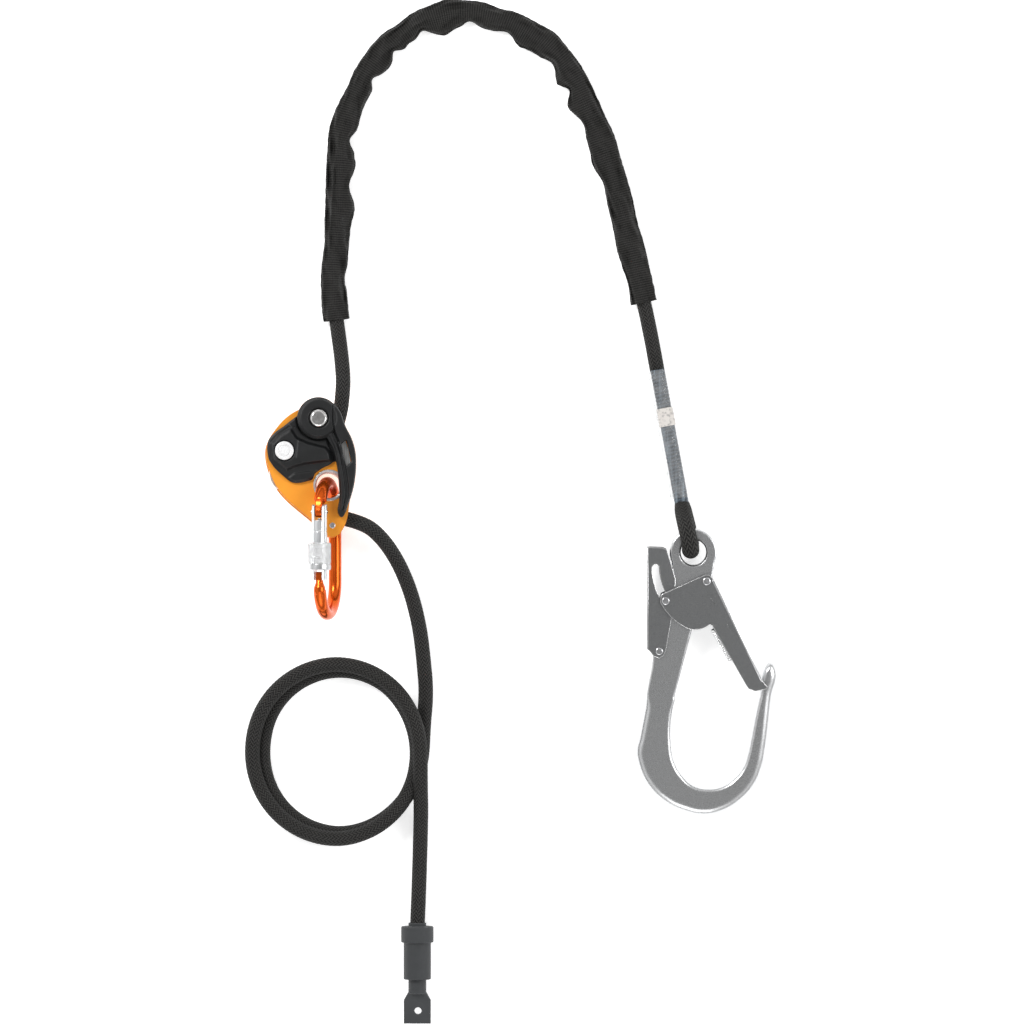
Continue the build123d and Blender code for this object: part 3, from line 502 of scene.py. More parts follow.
# ---- rope routes, as in the CAD ----
IN_GRAB = [
    (25.448, 85.857, 23.496),
    (23.058, 63.887, 24.861),
    (-4.681, 29.934, 29.074),
    (-2.547, -1.024, 30.516),
    (29.468, -9.013, 28.135),
]
UPPER = [
    (25.448, 85.857, 23.496),
    (26.851, 98.756, 22.695),
    (26.2, 113.0, 17.2),
    (24.2, 130.0, 9.8),
    (21.6, 148.0, 7.0),
    (18.6, 172.0, 7.0),
    (19.2, 205.0, 7.0),
    (22.6, 244.0, 7.0),
    (22.8, 283.0, 7.0),
    (27.2, 315.0, 7.0),
    (41.0, 350.0, 7.0),
    (66.0, 384.0, 7.0),
    (101.0, 404.4, 7.0),
    (142.0, 406.4, 7.0),
    (180.0, 390.5, 7.0),
    (210.0, 364.0, 7.0),
    (229.0, 324.0, 7.0),
    (245.0, 281.0, 7.0),
    (258.0, 235.0, 7.0),
    (268.5, 189.0, 7.0),
    (277.902, 146.057, 7.0),
    (283.9, 113.2, 7.0),
]
TAIL = [
    (29.468, -9.013, 28.135),
    (43.984, -12.635, 27.056),
    (56.5, -22.4, 22.4),
    (67.6, -37.4, 15.2),
    (76.4, -55.0, 9.0),
    (83.6, -75.0, 6.0),
    (89.4, -100.0, 6.0),
    (92.4, -126.0, 6.0),
    (94.6, -152.0, 6.0),
    (92.2, -178.0, 6.0),
]
LOOP_AT = (21.3, -199.3)
LAPS = [  # turns clockwise from the right, radius, height of the rope's middle
    (0.00, 70.5, 6.0),
    (0.12, 68.6, 6.0),
    (0.25, 69.0, 6.0),
    (0.50, 61.0, 6.0),
    (0.75, 67.0, 6.0),
    (0.84, 68.0, 8.0),
    (0.92, 66.5, 16.5),
    (1.00, 66.4, 18.0),
    (1.12, 69.4, 17.8),
    (1.25, 73.0, 17.4),
    (1.50, 70.0, 15.2),
    (1.75, 72.5, 17.6),
    (1.84, 71.5, 20.0),
    (1.92, 70.0, 28.4),
    (1.98, 68.9, 29.4),
]
END = [
    (90.0, -206.0, 28.6),
    (89.9, -226.0, 24.0),
    (90.3, -246.0, 14.6),
    (89.8, -266.0, 8.0),
    (89.2, -286.0, 6.0),
    (88.6, -306.0, 7.4),
    (88.0, -325.0, 12.0),
    (87.2, -343.9, 13.4),
]
EYE = [
    (304.2, 2.0, 7.0),
    (309.6, -18.0, 6.9),
    (311.6, -29.6, 7.2),
    (310.8, -34.4, 11.4),
    (311.0, -34.6, 20.0),
    (311.0, -34.4, 30.6),
    (309.8, -28.0, 35.4),
    (307.4, -17.0, 34.4),
    (305.2, -6.5, 24.4),
    (304.0, 3.0, 18.6),
    (302.6, 10.6, 18.6),
    (300.4, 22.6, 18.6),
    (296.4, 44.5, 18.6),
    (284.8, 108.0, 18.6),
]
SPLICE_TOP = Vector((283.9, 113.2, 7.0))
SPLICE_BOTTOM = Vector((304.2, 2.0, 7.0))
SPLICE_RISE = 11.6


def laps():
    """Points of the two loose turns, by their stations."""
    turns, radii, heights = zip(*LAPS)
    points = []
    for turn in np.arange(0.02, turns[-1], 1 / 18):
        radius = np.interp(turn, turns, radii)
        angle = -tau * turn
        points.append((
            LOOP_AT[0] + radius * cos(angle),
            LOOP_AT[1] + radius * sin(angle),
            float(np.interp(turn, turns, heights)),
        ))
    return points


FINE = 0.8  # mm between a rope's rings


def ropes():
    """The stretch in the grab, the upper cord, and the tail with its two turns."""
    black = braided("rope_black", (3, 3, 3), (64, 63, 61), 0.22)
    rope("inner_rope", smooth_line(IN_GRAB, FINE), "root", black, replace=("rope_in_grab",))
    upper_line = smooth_line(UPPER + EYE, FINE)
    sewn_from = np.array(SPLICE_TOP) * MM
    way = np.array((SPLICE_BOTTOM - SPLICE_TOP).normalized())
    along = (upper_line - sewn_from) @ way / MM
    sewn_length = (SPLICE_BOTTOM - SPLICE_TOP).length
    squeeze = 0.9  # mm off the radius inside the splice, and on it in the bight
    pressed = squeeze * ramp_up(along - 0.5, 1.5) * ramp_up(sewn_length - 1.0 - along, 2.0)
    bight = ramp_up(along - sewn_length + 3.0, 8.0)
    pressed = pressed - squeeze * bight
    upper = rope("upper_rope", upper_line, "root", black, replace=("rope_upper", "rope_eye"), pressed=pressed)
    tail_line = smooth_line(TAIL + laps() + END, FINE)
    tail = rope("tail_rope", tail_line, "root", black, replace=("rope_tail", "rope_loop", "rope_end"))
    return upper, upper_line, tail, tail_line


RIB = 1.9  # mm between the ribs of the webbing
FOLDS = [  # reach from the grab end in mm, side (1 outer, -1 inner), bulge in mm, half length in mm
    (34, -1, -2.2, 9), (62, 1, -1.4, 12), (92, -1, 2.6, 10), (110, -1, -2.4, 9), (128, -1, 2.4, 9),
    (149, -1, -4.6, 7), (156, 1, 1.4, 12), (178, -1, -1.0, 12), (190, 1, -1.6, 10), (205, -1, -5.0, 6),
    (222, -1, 1.0, 6), (235, -1, -4.6, 5), (252, 1, -2.0, 8), (252, -1, -1.4, 8), (266, -1, -4.6, 6),
    (285, -1, 5.0, 10), (292, 1, 2.0, 10), (310, -1, -4.6, 7), (332, 1, -2.2, 9), (344, -1, -3.2, 8),
    (360, -1, 2.4, 9), (376, 1, 1.8, 10), (392, -1, -3.6, 9), (410, -1, 3.0, 7), (420, -1, -3.6, 6),
    (434, -1, 3.4, 8), (452, -1, -2.6, 9), (470, 1, 1.4, 12), (486, -1, 2.0, 10), (505, -1, -1.8, 12),
    (540, 1, -1.2, 12), (560, -1, 1.2, 14), (590, -1, -1.4, 12),
]


PROTECTOR_ENDS = ((21.0, 154.0, 7.0), (272.8, 168.6, 7.0))


def nearest(line, at):
    """Index of the point of a line, in metres, nearest to a place in millimetres."""
    return int(np.argmin(np.linalg.norm(line - np.array(at) * MM, axis=1)))


def protector(upper_line):
    """Loose tubular webbing round the upper rope, crumpled where it bends, creased along its first leg."""
    first, last = (nearest(upper_line, at) for at in PROTECTOR_ENDS)
    line = upper_line[first : last + 1]
    side, lift = carried_frames(line)
    reach = measure(line)
    around = 72
    angle = tau * np.arange(around) / around
    half_width, half_height, lip = 10.8, 7.2, 3
    outer_w = np.full(len(line), half_width)
    inner_w = np.full(len(line), half_width)
    for at, way, bulge, half in FOLDS:
        swell = bulge * np.exp(-(((reach / MM - at) / half) ** 2))
        if way > 0:
            outer_w += swell
        else:
            inner_w += swell
    rings = []
    for i, centre in enumerate(line):
        to_side = np.where(np.cos(angle) > 0, inner_w[i], outer_w[i])
        crease = np.array([
            perlin.noise(Vector((reach[i] * 62 + 0.9 * cos(a), 1.6 * cos(a), 2.6 * sin(a)))) for a in angle
        ])
        fine = np.array([
            perlin.noise(Vector((reach[i] * 190, 3.0 * cos(a) + 7.0, 5.0 * sin(a)))) for a in angle
        ])
        across = to_side * np.sign(np.cos(angle)) * np.abs(np.cos(angle)) ** 0.85
        level = half_height * np.sin(angle) * (1.0 + 0.5 * crease * (np.sin(angle) > 0))
        level += (1.5 * crease + 0.6 * fine) * (np.sin(angle) > -0.3)
        leg = float(ramp_up(reach[i] / MM - 20, 60) * ramp_up(330 - reach[i] / MM, 60))
        wander = 1.75 + 0.28 * sin(reach[i] * 21)
        ridge = 1.5 * np.exp(-(((angle - wander) / 0.1) ** 2))
        valley = 1.3 * np.exp(-(((angle - wander - 0.34) / 0.2) ** 2))
        level += leg * (ridge - valley)
        across *= 1.0 + 0.05 * fine
        over_rope = np.sqrt(np.maximum((ROPE_R + 0.7) ** 2 - across ** 2, 0.0))
        level = np.where(np.sin(angle) > 0, np.maximum(level, over_rope + 0.25 * fine), level)
        ring = centre + (side[i] * across[:, None] + lift[i] * level[:, None]) * MM
        rings.append(ring)
    rings = np.array(rings)
    rings[..., 2] = np.maximum(rings[..., 2], 0.0002)

    def mouth(index, count):
        """Rings that turn the webbing's end in towards the rope."""
        hole = line[index] + (
            side[index] * np.cos(angle)[:, None] + lift[index] * np.sin(angle)[:, None]
        ) * (ROPE_R + 0.6) * MM
        inward = line[count] - line[index]
        return [hole + inward, rings[index] * 0.86 + hole * 0.14 + inward * 0.1]

    start = mouth(0, lip)
    end = mouth(-1, -1 - lip)
    rings = np.concatenate([start, rings, end[::-1]])
    ribs = 2.0 + reach / (RIB * MM)
    ribs = np.concatenate([[0.0, 1.0], ribs, ribs[-1] + np.array([1.0, 2.0])])
    mesh = grid_mesh(rings, ribs, closed=False)
    return finish_piece(
        "webbing_protector", mesh, "root", webbing(), 60.0, ("rope_protector",)
    )


def splice_rings(steps, section):
    """Rings of a section (side, lift) along the splice, with the reach of each."""
    way = (SPLICE_BOTTOM - SPLICE_TOP).normalized()
    side = way.cross(Vector((0, 0, 1)))
    rings = []
    for reach in steps:
        centre = SPLICE_TOP + way * reach
        rings.append([(centre + side * a + Vector((0, 0, b))) * MM for a, b in section(reach)])
    return np.array([[tuple(p) for p in ring] for ring in rings])


def stadium(half_width, low, high, around=56):
    """Section points: two round ends, one above the other, with straight sides."""
    points = []
    for i in range(around):
        a = tau * (i + 0.5) / around
        middle = high if sin(a) > 0 else low
        points.append((half_width * cos(a), middle + half_width * sin(a)))
    return points


def splice():
    """Two ropes sewn one on the other, their clear sheath and the label under it."""
    length = (SPLICE_BOTTOM - SPLICE_TOP).length

    def sewn_section(reach):
        points = []
        for a, b in stadium(ROPE_R - 0.25, 0.0, SPLICE_RISE):
            waist = 1.0 - 0.22 * np.exp(-(((b - SPLICE_RISE / 2) / 2.6) ** 2))
            pull = 1.0 - 0.035 * (0.5 + 0.5 * sin(tau * reach / 3.2))
            points.append((a * waist * pull, b))
        return points

    steps = np.linspace(0.0, length, 180)
    mesh = grid_mesh(splice_rings(steps, sewn_section), steps / LAY)
    sewn_rope = finish_piece("sewn_rope", mesh, "root", sewn(), 60.0, ("sewn_splice",))

    def film_section(reach):
        points = []
        for a, b in stadium(ROPE_R + 0.35, 0.0, SPLICE_RISE):
            fin = 2.6 * np.exp(-(((b - SPLICE_RISE) / 1.3) ** 2)) if a > 0 else 0.0
            ripple = 0.18 * sin(reach * 0.45 + b) + 0.12 * sin(reach * 1.3 + 2 * b)
            points.append((a + fin + 0.4 * ripple, b + 0.3 * ripple * (b > 0)))
        return points

    steps = np.linspace(0.5, length - 6.5, 120)
    mesh = grid_mesh(splice_rings(steps, film_section), steps / LAY, closed=False)
    sheath = finish_piece(
        "shrink_sheath", mesh, "root", clear_film(), 60.0, ("clear_sheath",)
    )
    nodes["splice_label"].material_slots[0].material = label()
    return [sewn_rope, sheath, nodes["splice_label"]]


# ---- solids by outline ----
def prism(frame_to, outlines, low, high, bevel, grow=0.0):
    """A slab with rounded rims between two levels; the first outline is outside, the others are holes."""
    curve = bpy.data.curves.new("prism", "CURVE")
    curve.dimensions = "2D"
    curve.fill_mode = "BOTH"
    curve.resolution_u = 8
    curve.extrude = (high - low) / 2 - bevel
    curve.bevel_depth = bevel
    curve.bevel_resolution = 2
    curve.offset = grow - bevel
    for outline in outlines:
        spline = curve.splines.new("BEZIER")
        spline.bezier_points.add(len(outline) - 1)
        for point, (u, v, *corner) in zip(spline.bezier_points, outline):
            point.co = (u, v, 0.0)
            point.handle_left_type = "VECTOR" if corner else "AUTO"
            point.handle_right_type = "VECTOR" if corner else "AUTO"
        spline.use_cyclic_u = True
    holder = bpy.data.objects.new("prism", curve)
    mesh = bpy.data.meshes.new_from_object(holder)
    mesh.transform(frame_to @ Matrix.Translation((0, 0, (low + high) / 2)))
    bpy.data.objects.remove(holder)
    bpy.data.curves.remove(curve)
    return mesh


def lathe(frame_to, at, profile, around=72):
    """A turned solid: (radius, level) pairs round a point of the frame's plane."""
    rings = [
        [(at[0] + r * cos(tau * i / around), at[1] + r * sin(tau * i / around), h) for i in range(around)]
        for r, h in profile
    ]
    mesh = grid_mesh(np.array(rings), np.arange(len(profile), dtype=float))
    mesh.transform(frame_to)
    return mesh


def joined(meshes):
    """Several meshes in one, as they are."""
    form = bmesh.new()
    for mesh in meshes:
        form.from_mesh(mesh)
    whole = bpy.data.meshes.new("joined")
    form.to_mesh(whole)
    form.free()
    return whole


def fused(meshes, voxel, rounds):
    """One skin round several meshes, by voxels of a size in mm, softened."""
    holder = bpy.data.objects.new("fused", joined(meshes))
    bpy.context.collection.objects.link(holder)
    shell = holder.modifiers.new("skin", "REMESH")
    shell.mode = "VOXEL"
    shell.voxel_size = voxel * MM
    soften = holder.modifiers.new("soften", "SMOOTH")
    soften.factor = 0.5
    soften.iterations = rounds
    graph = bpy.context.evaluated_depsgraph_get()
    result = bpy.data.meshes.new_from_object(holder.evaluated_get(graph))
    bpy.data.objects.remove(holder)
    return result


def spots_of(mesh):
    return np.array([vertex.co for vertex in mesh.vertices])


def move_to(mesh, spots):
    mesh.vertices.foreach_set("co", spots.astype(np.float32).ravel())


def depth_inside(points, outline):
    """Distance of each point inside a polygon from its border; negative outside."""
    corners = np.array([corner[:2] for corner in outline], dtype=float)
    ends = np.roll(corners, -1, axis=0)
    nearest = np.full(len(points), 1e9)
    inside = np.zeros(len(points), dtype=bool)
    for a, b in zip(corners, ends):
        along = b - a
        part = np.clip(((points - a) @ along) / (along @ along), 0.0, 1.0)
        nearest = np.minimum(nearest, np.linalg.norm(points - a - part[:, None] * along, axis=1))
        crosses = (a[1] > points[:, 1]) != (b[1] > points[:, 1])
        slope = (b[0] - a[0]) / (b[1] - a[1]) if b[1] != a[1] else 0.0
        inside ^= crosses & (points[:, 0] < a[0] + slope * (points[:, 1] - a[1]))
    return np.where(inside, nearest, -nearest)


def ramp_up(depth, width):
    """0 outside an edge, rising smoothly to 1 at a width inside it."""
    part = np.clip(depth / width, 0.0, 1.0)
    return part * part * (3 - 2 * part)


COVER = [
    (-24.0, 57.5), (-27.8, 55.2), (-36.0, 48.9), (-44.2, 42.9), (-49.0, 37.9), (-50.3, 33.7), (-49.9, 24.0),
    (-48.6, 19.9), (-35.0, 5.4), (-30.9, 2.6), (-28.0, 1.8), (-16.9, 3.5), (-13.8, 4.6), (-11.6, 9.2),
    (-7.5, 12.6), (3.2, 19.1), (3.6, 21.0), (2.0, 27.8), (-0.9, 33.3), (-1.6, 38.2), (-8.4, 36.7),
    (-15.6, 37.9), (-21.6, 41.8), (-25.6, 48.0), (-26.7, 54.4),
]
SKIRT = [
    (-24.8, 57.2), (-27.4, 50.5), (-20.0, 38.0), (-8.0, 32.0), (2.0, 24.0), (2.6, 18.8, 1), (7.6, 20.0, 1),
    (6.2, 27.0), (4.8, 35.0), (0.0, 48.0), (-10.0, 56.0),
]
BULGE = [
    (-31.0, 48.0), (-42.0, 41.0), (-48.4, 34.0), (-47.0, 21.0), (-35.0, 10.5), (-28.0, 13.6), (-20.4, 15.6),
    (2.8, 18.6), (1.4, 27.2), (-2.4, 32.0), (-17.0, 35.6), (-25.5, 39.5),
]
LOWER_FACET = [(-34.4, 5.8), (-28.6, 10.2), (-10.0, 12.6), (-13.0, 5.6), (-17.4, 4.3), (-28.0, 2.6)]
RIDGE = [(-27.8, 21.4), (-20.4, 17.3), (2.7, 19.7), (1.5, 27.0), (-3.0, 31.4), (-17, 35), (-26, 38)]
FINS = [
    [(-31.2, 45.4), (-33.6, 50.2), (-25.4, 46.6)],
    [(-41.2, 39.0), (-44.4, 42.2), (-38.0, 39.4)],
]


def front_cover(plastic):
    """The moulded cover: a slab with a raised bulge, facets and a recess for the cam's rivet."""
    low, rim, pocket_floor, pocket_r = 10.05, 13.0, 15.2, 8.9
    mesh = fused([prism(GRAB, [COVER], low, rim, 0.5)], 0.45, 1)
    mesh.transform(GRAB.inverted())
    spots = spots_of(mesh)
    flat = spots[:, :2]
    height = np.full(len(spots), rim)
    height += 0.5 * ramp_up(depth_inside(flat, COVER), 1.4)
    height += 3.4 * ramp_up(depth_inside(flat, BULGE), 3.4)
    facet = ramp_up(depth_inside(flat, LOWER_FACET), 1.4)
    height += facet * (0.7 + 0.05 * (flat[:, 1] - 4.0))
    for fin in FINS:
        height += 0.9 * ramp_up(depth_inside(flat, fin), 0.9)
    height += 0.5 * ramp_up(depth_inside(flat, RIDGE), 1.2)
    from_rivet = np.hypot(flat[:, 0] - CAM_AT[0], flat[:, 1] - CAM_AT[1])
    pocket = ramp_up(pocket_r - from_rivet, 0.8)
    height = height * (1 - pocket) + pocket_floor * pocket
    top = spots[:, 2] > (low + rim) / 2
    spots[top, 2] = np.maximum(height[top] - (rim - spots[top, 2]) * 0.6, spots[top, 2])
    move_to(mesh, spots)
    mesh.transform(GRAB)
    finish_piece("moulded_cover", mesh, "root", plastic, 50.0, ("front_cover",))
    finish_piece("cover_skirt", prism(GRAB, [SKIRT], 10.02, 10.25, 0.05), "root", plastic)


WINDOW = [(8.2, 32.3, 1), (14.0, 36.7, 1), (18.1, 19.4, 1), (13.9, 14.9, 1)]
ARM = [
    (-6.0, 46.0, 1), (-0.4, 35.6), (3.1, 29.0), (5.9, 16.7), (7.5, 3.3), (8.1, -10.7), (7.0, -23.0),
    (9.8, -26.3), (12.4, -23.6), (15.3, -16.0), (18.7, -5.8), (21.1, 6.5), (21.8, 16.7), (21.2, 27.1),
    (18.3, 37.7), (13.4, 47.6), (7.6, 62.0), (2.2, 66.6),
]
INNER_WALL = [
    (-3.0, 44.0, 1), (1.4, 36.8), (4.4, 30.0), (7.0, 18.0), (8.6, 5.0), (9.2, -8.0), (8.6, -20.6, 1),
    (10.8, -20.0, 1), (12.6, -7.0), (11.4, 5.8), (9.8, 16.6), (6.2, 32.0), (2.2, 40.6), (0.6, 50.6, 1),
]
OUTER_RIB = [
    (2.6, 66.0, 1), (2.5, 52.0), (4.3, 42.8), (8.6, 33.4), (12.2, 18.0), (14.2, 6.5), (15.4, -7.1),
    (11.2, -23.4), (12.2, -23.4), (14.8, -15.8), (18.2, -5.6), (20.6, 6.6), (21.3, 16.7), (20.7, 27.0),
    (17.8, 37.5), (13.0, 47.2), (7.2, 61.6),
]
GROOVE = [
    (1.5, 67.4), (1.4, 52.0), (3.2, 42.6), (6.6, 34.4), (8.4, 35.2), (5.2, 43.0), (3.4, 52.2), (3.5, 67.6),
]


def release_handle(plastic):
    """The moulded handle: head with a chamfered crown, arm with a wall, a groove and a rib."""
    head = lathe(GRAB, HEAD_AT, [
        (4.2, 10.3), (16.6, 10.3), (17.2, 11.0), (17.2, 17.6), (14.6, 20.5), (8.9, 20.6), (8.3, 20.2),
        (8.2, 18.9), (4.2, 18.9),
    ])
    arm = prism(GRAB, [ARM, WINDOW], 11.75, 17.4, 0.8)
    wall = prism(GRAB, [INNER_WALL], 13.0, 18.8, 0.7)
    rib = prism(GRAB, [OUTER_RIB, WINDOW], 13.0, 20.0, 0.9)
    mesh = fused([head, arm, wall, rib], 0.36, 2)
    mesh.transform(GRAB.inverted())
    spots = spots_of(mesh)
    groove = ramp_up(depth_inside(spots[:, :2], GROOVE), 0.8)
    spots[:, 2] -= np.where(spots[:, 2] > 17.0, 1.5 * groove, 0.0)
    move_to(mesh, spots)
    mesh.transform(GRAB)
    return finish_piece("moulded_handle", mesh, "handle", plastic, 50.0, ("handle",))


def cam_rivet(material):
    """The cam's axle, with a fine ring turned in its flat head."""
    mesh = lathe(GRAB, CAM_AT, [
        (0.3, -11.6), (6.0, -11.6), (6.0, -10.0), (3.5, -9.9), (3.5, 15.4), (7.3, 15.5), (7.6, 15.9),
        (7.6, 17.4), (7.4, 17.9), (6.9, 18.2), (4.9, 18.2), (4.7, 17.6), (4.2, 17.6), (4.0, 18.2),
        (0.3, 18.2),
    ])
    return finish_piece("cam_rivet", mesh, "root", material, 30.0, ("cam_pivot",))


BAR_R, BOW_R, BOW_END = 5.2, 26.25, 80.55  # the bar, its bends, and the far bend's place


def knurled_sleeve(material):
    """The screw sleeve: diamond knurl, a groove and a plain ring."""
    start, length, radius, bore = 48.5, 22.2, 9.3, 6.45
    knurl_end, ring_from = 16.8, 17.6
    around, diamonds, depth, pitch, chamfer = 180, 36, 0.6, 1.6, 0.7
    turns = np.arange(around) / around * diamonds
    rings = []

    def ring(reach, sizes):
        return [
            (start + reach, BOW_R + size * cos(tau * i / around), size * sin(tau * i / around))
            for i, size in enumerate(sizes)
        ]

    for reach in np.linspace(0.0, length, 90):
        rim = min(reach, length - reach)
        base = radius - max(0.0, chamfer - rim)
        if reach < knurl_end:
            rising = np.abs(np.mod(turns + reach / pitch, 1) - 0.5)
            falling = np.abs(np.mod(turns - reach / pitch, 1) - 0.5)
            size = base - depth * ramp_up(2 * np.maximum(rising, falling) - 0.55, 0.45)
        elif reach < ring_from:
            size = np.full(around, base - 0.7)
        else:
            size = np.full(around, base)
        rings.append(ring(reach, size))
    hollow = np.full(around, bore)
    middle = length / 2
    rings = [ring(middle, hollow), ring(0.0, hollow)] + rings
    rings += [ring(length, hollow), ring(middle + 0.01, hollow)]
    mesh = grid_mesh(np.array(rings), np.arange(len(rings), dtype=float), closed=False)
    mesh.transform(CARAB)
    return finish_piece(
        "knurled_sleeve", mesh, "screw_sleeve", material, 40.0, ("screw_sleeve",)
    )


BOW = [
    (-38.2, -120.0, 1), (-41.4, -136.5), (-44.4, -152.2), (-46.7, -163.0), (-45.1, -173.8),
    (-37.7, -190.7), (-23.7, -205.0), (-6.5, -213.2), (8.6, -216.1), (23.8, -213.2), (37.8, -205.0),
    (50.1, -191.9), (56.6, -177.6),
    (60.2, -159.9), (64.9, -118.9), (68.2, -96.0), (63.0, -90.6), (58.6, -97.0), (55.8, -113.5),
    (51.7, -131.2), (47.2, -155.0), (44.3, -168.1), (40.6, -177.6), (32.8, -186.9), (23.8, -192.4),
    (13.2, -194.3), (0.9, -191.9), (-9.2, -183.2), (-15.9, -170.9), (-18.2, -156.6), (-18.0, -137.7),
    (-14.9, -120.0, 1),
]
SHANK = [
    (-17.2, -8.0, 1), (-18.6, -50.0), (-24.5, -62.0), (-31.5, -73.0), (-33.6, -92.0), (-37.9, -116.0),
    (-38.6, -130.0, 1), (-17.6, -130.0, 1), (-15.2, -118.0), (-10.6, -100.0), (-3.6, -72.1), (2.0, -52.0),
    (9.0, -38.0), (14.6, -27.0), (15.6, -20.5), (17.4, -8.0, 1),
    (10.9, -8.0, 1), (8.0, -10.8), (0.0, -13.4), (-8.0, -10.8), (-10.9, -8.0, 1),
]


def circle(radius, count=24):
    return [(radius * cos(tau * i / count), radius * sin(tau * i / count)) for i in range(count)]


def round_over(depth, radius):
    """How far a rounded edge has fallen at a depth inside it."""
    short = 1.0 - np.clip(depth / radius, 0.0, 1.0)
    return radius * (1.0 - np.sqrt(1.0 - short ** 2))


def wall_depth(flat, walls):
    """Distance of each point to the nearest point of the walls, seen from above."""
    tree = KDTree(len(walls))
    for i, (u, v) in enumerate(walls):
        tree.insert((u, v, 0.0), i)
    tree.balance()
    return np.array([tree.find((u, v, 0.0))[2] for u, v in flat])


def forged_hook(material):
    """The forged body in one skin: a bow with a full round back, a flatter shank and the ring."""
    half, bow_middle, shank_level, thinnest = 7.2, (8.0, -150.0), 6.7, 0.6
    bow = prism(HOOK, [BOW], -half, half, 0.5, 0.4)
    shank = prism(HOOK, [SHANK], -half, half, 0.5, 0.3)
    ring = prism(HOOK, [circle(19.2), circle(10.6)], -half, half, 0.5, 0.2)
    mesh = fused([bow, shank, ring], 0.6, 3)
    mesh.transform(HOOK.inverted())
    spots = spots_of(mesh)
    normals = np.array([vertex.normal for vertex in mesh.vertices])
    flat = spots[:, :2]
    wall = (np.abs(spots[:, 2]) < 2.0) & (np.abs(normals[:, 2]) < 0.5)
    outward_way = flat - np.array(bow_middle)
    outer = wall & (np.einsum("ij,ij->i", normals[:, :2], outward_way) > 0)
    in_bow = np.where(flat[:, 0] > 30, 1.0, ramp_up(-114.0 - flat[:, 1], 16.0))
    fall = round_over(wall_depth(flat, flat[outer]), 1.7 + 5.2 * in_bow)
    fall += round_over(wall_depth(flat, flat[wall & ~outer]), 1.5 + 1.9 * in_bow)
    level = np.maximum(shank_level + 0.4 * in_bow - fall, thinnest)
    spots[:, 2] *= level / half
    move_to(mesh, spots)
    mesh.transform(HOOK)
    mesh = fused([mesh], 0.55, 4)
    return finish_piece("forged_hook", mesh, "root", material, 60.0, ("hook_body",))


GATE_FOLD = [(16.4, -21.6, 1), (56.8, -105.0, 1), (55.2, -105.8, 1), (14.8, -22.4, 1)]
LEVER_FOLD = [(-38.3, 3.6, 1), (-36.8, 4.2, 1), (-36.8, -79.6, 1), (-38.3, -79.6, 1)]
GRIP_AT, GRIP_TURN, GRIP_HALF = (22.75, -76.2), radians(-60.3), 14.2
CHEEKS = ((-10.9, -8.9), (8.9, 10.9))


def sheet_folds(material):
    """The folds down the gate's back and the lever's back; their material, lighter than the sheet's, is a
    painted highlight.
    """
    gate_back = prism(HOOK, [GATE_FOLD], -11.0, 11.1, 0.7)
    finish_piece("gate_fold", gate_back, "hook_gate", material)
    lever_back = prism(HOOK, [LEVER_FOLD], -8.7, 8.8, 0.7)
    finish_piece("lever_fold", lever_back, "safety_lever", material)


def thumb_grips(material):
    """Ribbed strips along the gate's inner edges, and short ribs on its back."""
    parts = []
    along = Vector((cos(GRIP_TURN), sin(GRIP_TURN)))
    across = Vector((-along.y, along.x))

    def block(reach, middle, half_long, half_wide, low, high, bevel):
        spot = Vector(GRIP_AT) + along * reach + across * middle
        corners = [(-1, -1), (1, -1), (1, 1), (-1, 1)]
        outline = [(*(spot + along * (half_long * a) + across * (half_wide * b)), 1) for a, b in corners]
        return prism(HOOK, [outline], low, high, bevel)

    for low, high in CHEEKS:
        parts.append(block(0.0, 0.35, GRIP_HALF, 1.1, low, high, 0.3))
        for rib in range(17):
            parts.append(block(-GRIP_HALF + 0.9 + 1.66 * rib, -0.1, 0.42, 1.3, low - 0.05, high + 0.12, 0.15))
        for start in (-38.0, -12.5):
            for rib in range(4):
                parts.append(block(start + 1.7 * rib, 12.9 + 0.02 * start, 0.45, 0.9, low, high, 0.2))
    return finish_piece(
        "thumb_grips", joined(parts), "hook_gate", material, replace=("gate_grip",)
    )


def eye_sleeve(material):
    """The eye's bushing: rolled flanges and a ribbed bore."""
    around, ribs, bore = 192, 48, 10.2
    profile = [
        (bore, 0.0), (bore, -9.9), (10.9, -10.8), (12.7, -10.8), (12.9, -10.4), (12.9, -10.0), (11.0, -10.0),
        (11.0, 10.0), (12.9, 10.0), (12.9, 10.4), (12.6, 10.85), (11.2, 10.9), (10.4, 10.3), (bore, 9.9),
        (bore, 0.0),
    ]
    rings = []
    for radius, level in profile:
        grooved = 0.4 if radius < 10.3 and abs(level) < 9.95 else 0.0
        spread = [radius + grooved * abs(sin(pi * ribs * i / around)) for i in range(around)]
        rings.append([
            (r * cos(tau * i / around), r * sin(tau * i / around), level) for i, r in enumerate(spread)
        ])
    mesh = grid_mesh(np.array(rings), np.arange(len(rings), dtype=float), closed=False)
    mesh.transform(GRAB)
    return finish_piece("eye_sleeve", mesh, "root", material, 30.0, ("eye_bushing",))


TANG = [
    (28.0, 26.25), (25.4, 30.2), (20.4, 30.4), (13.6, 28.6), (10.2, 25.4), (14.0, 20.4), (20.6, 21.6),
    (25.4, 22.3),
]
KEY = [(72.2, 23.65, 1), (80.2, 23.65, 1), (80.2, 28.85, 1), (72.2, 28.85, 1)]


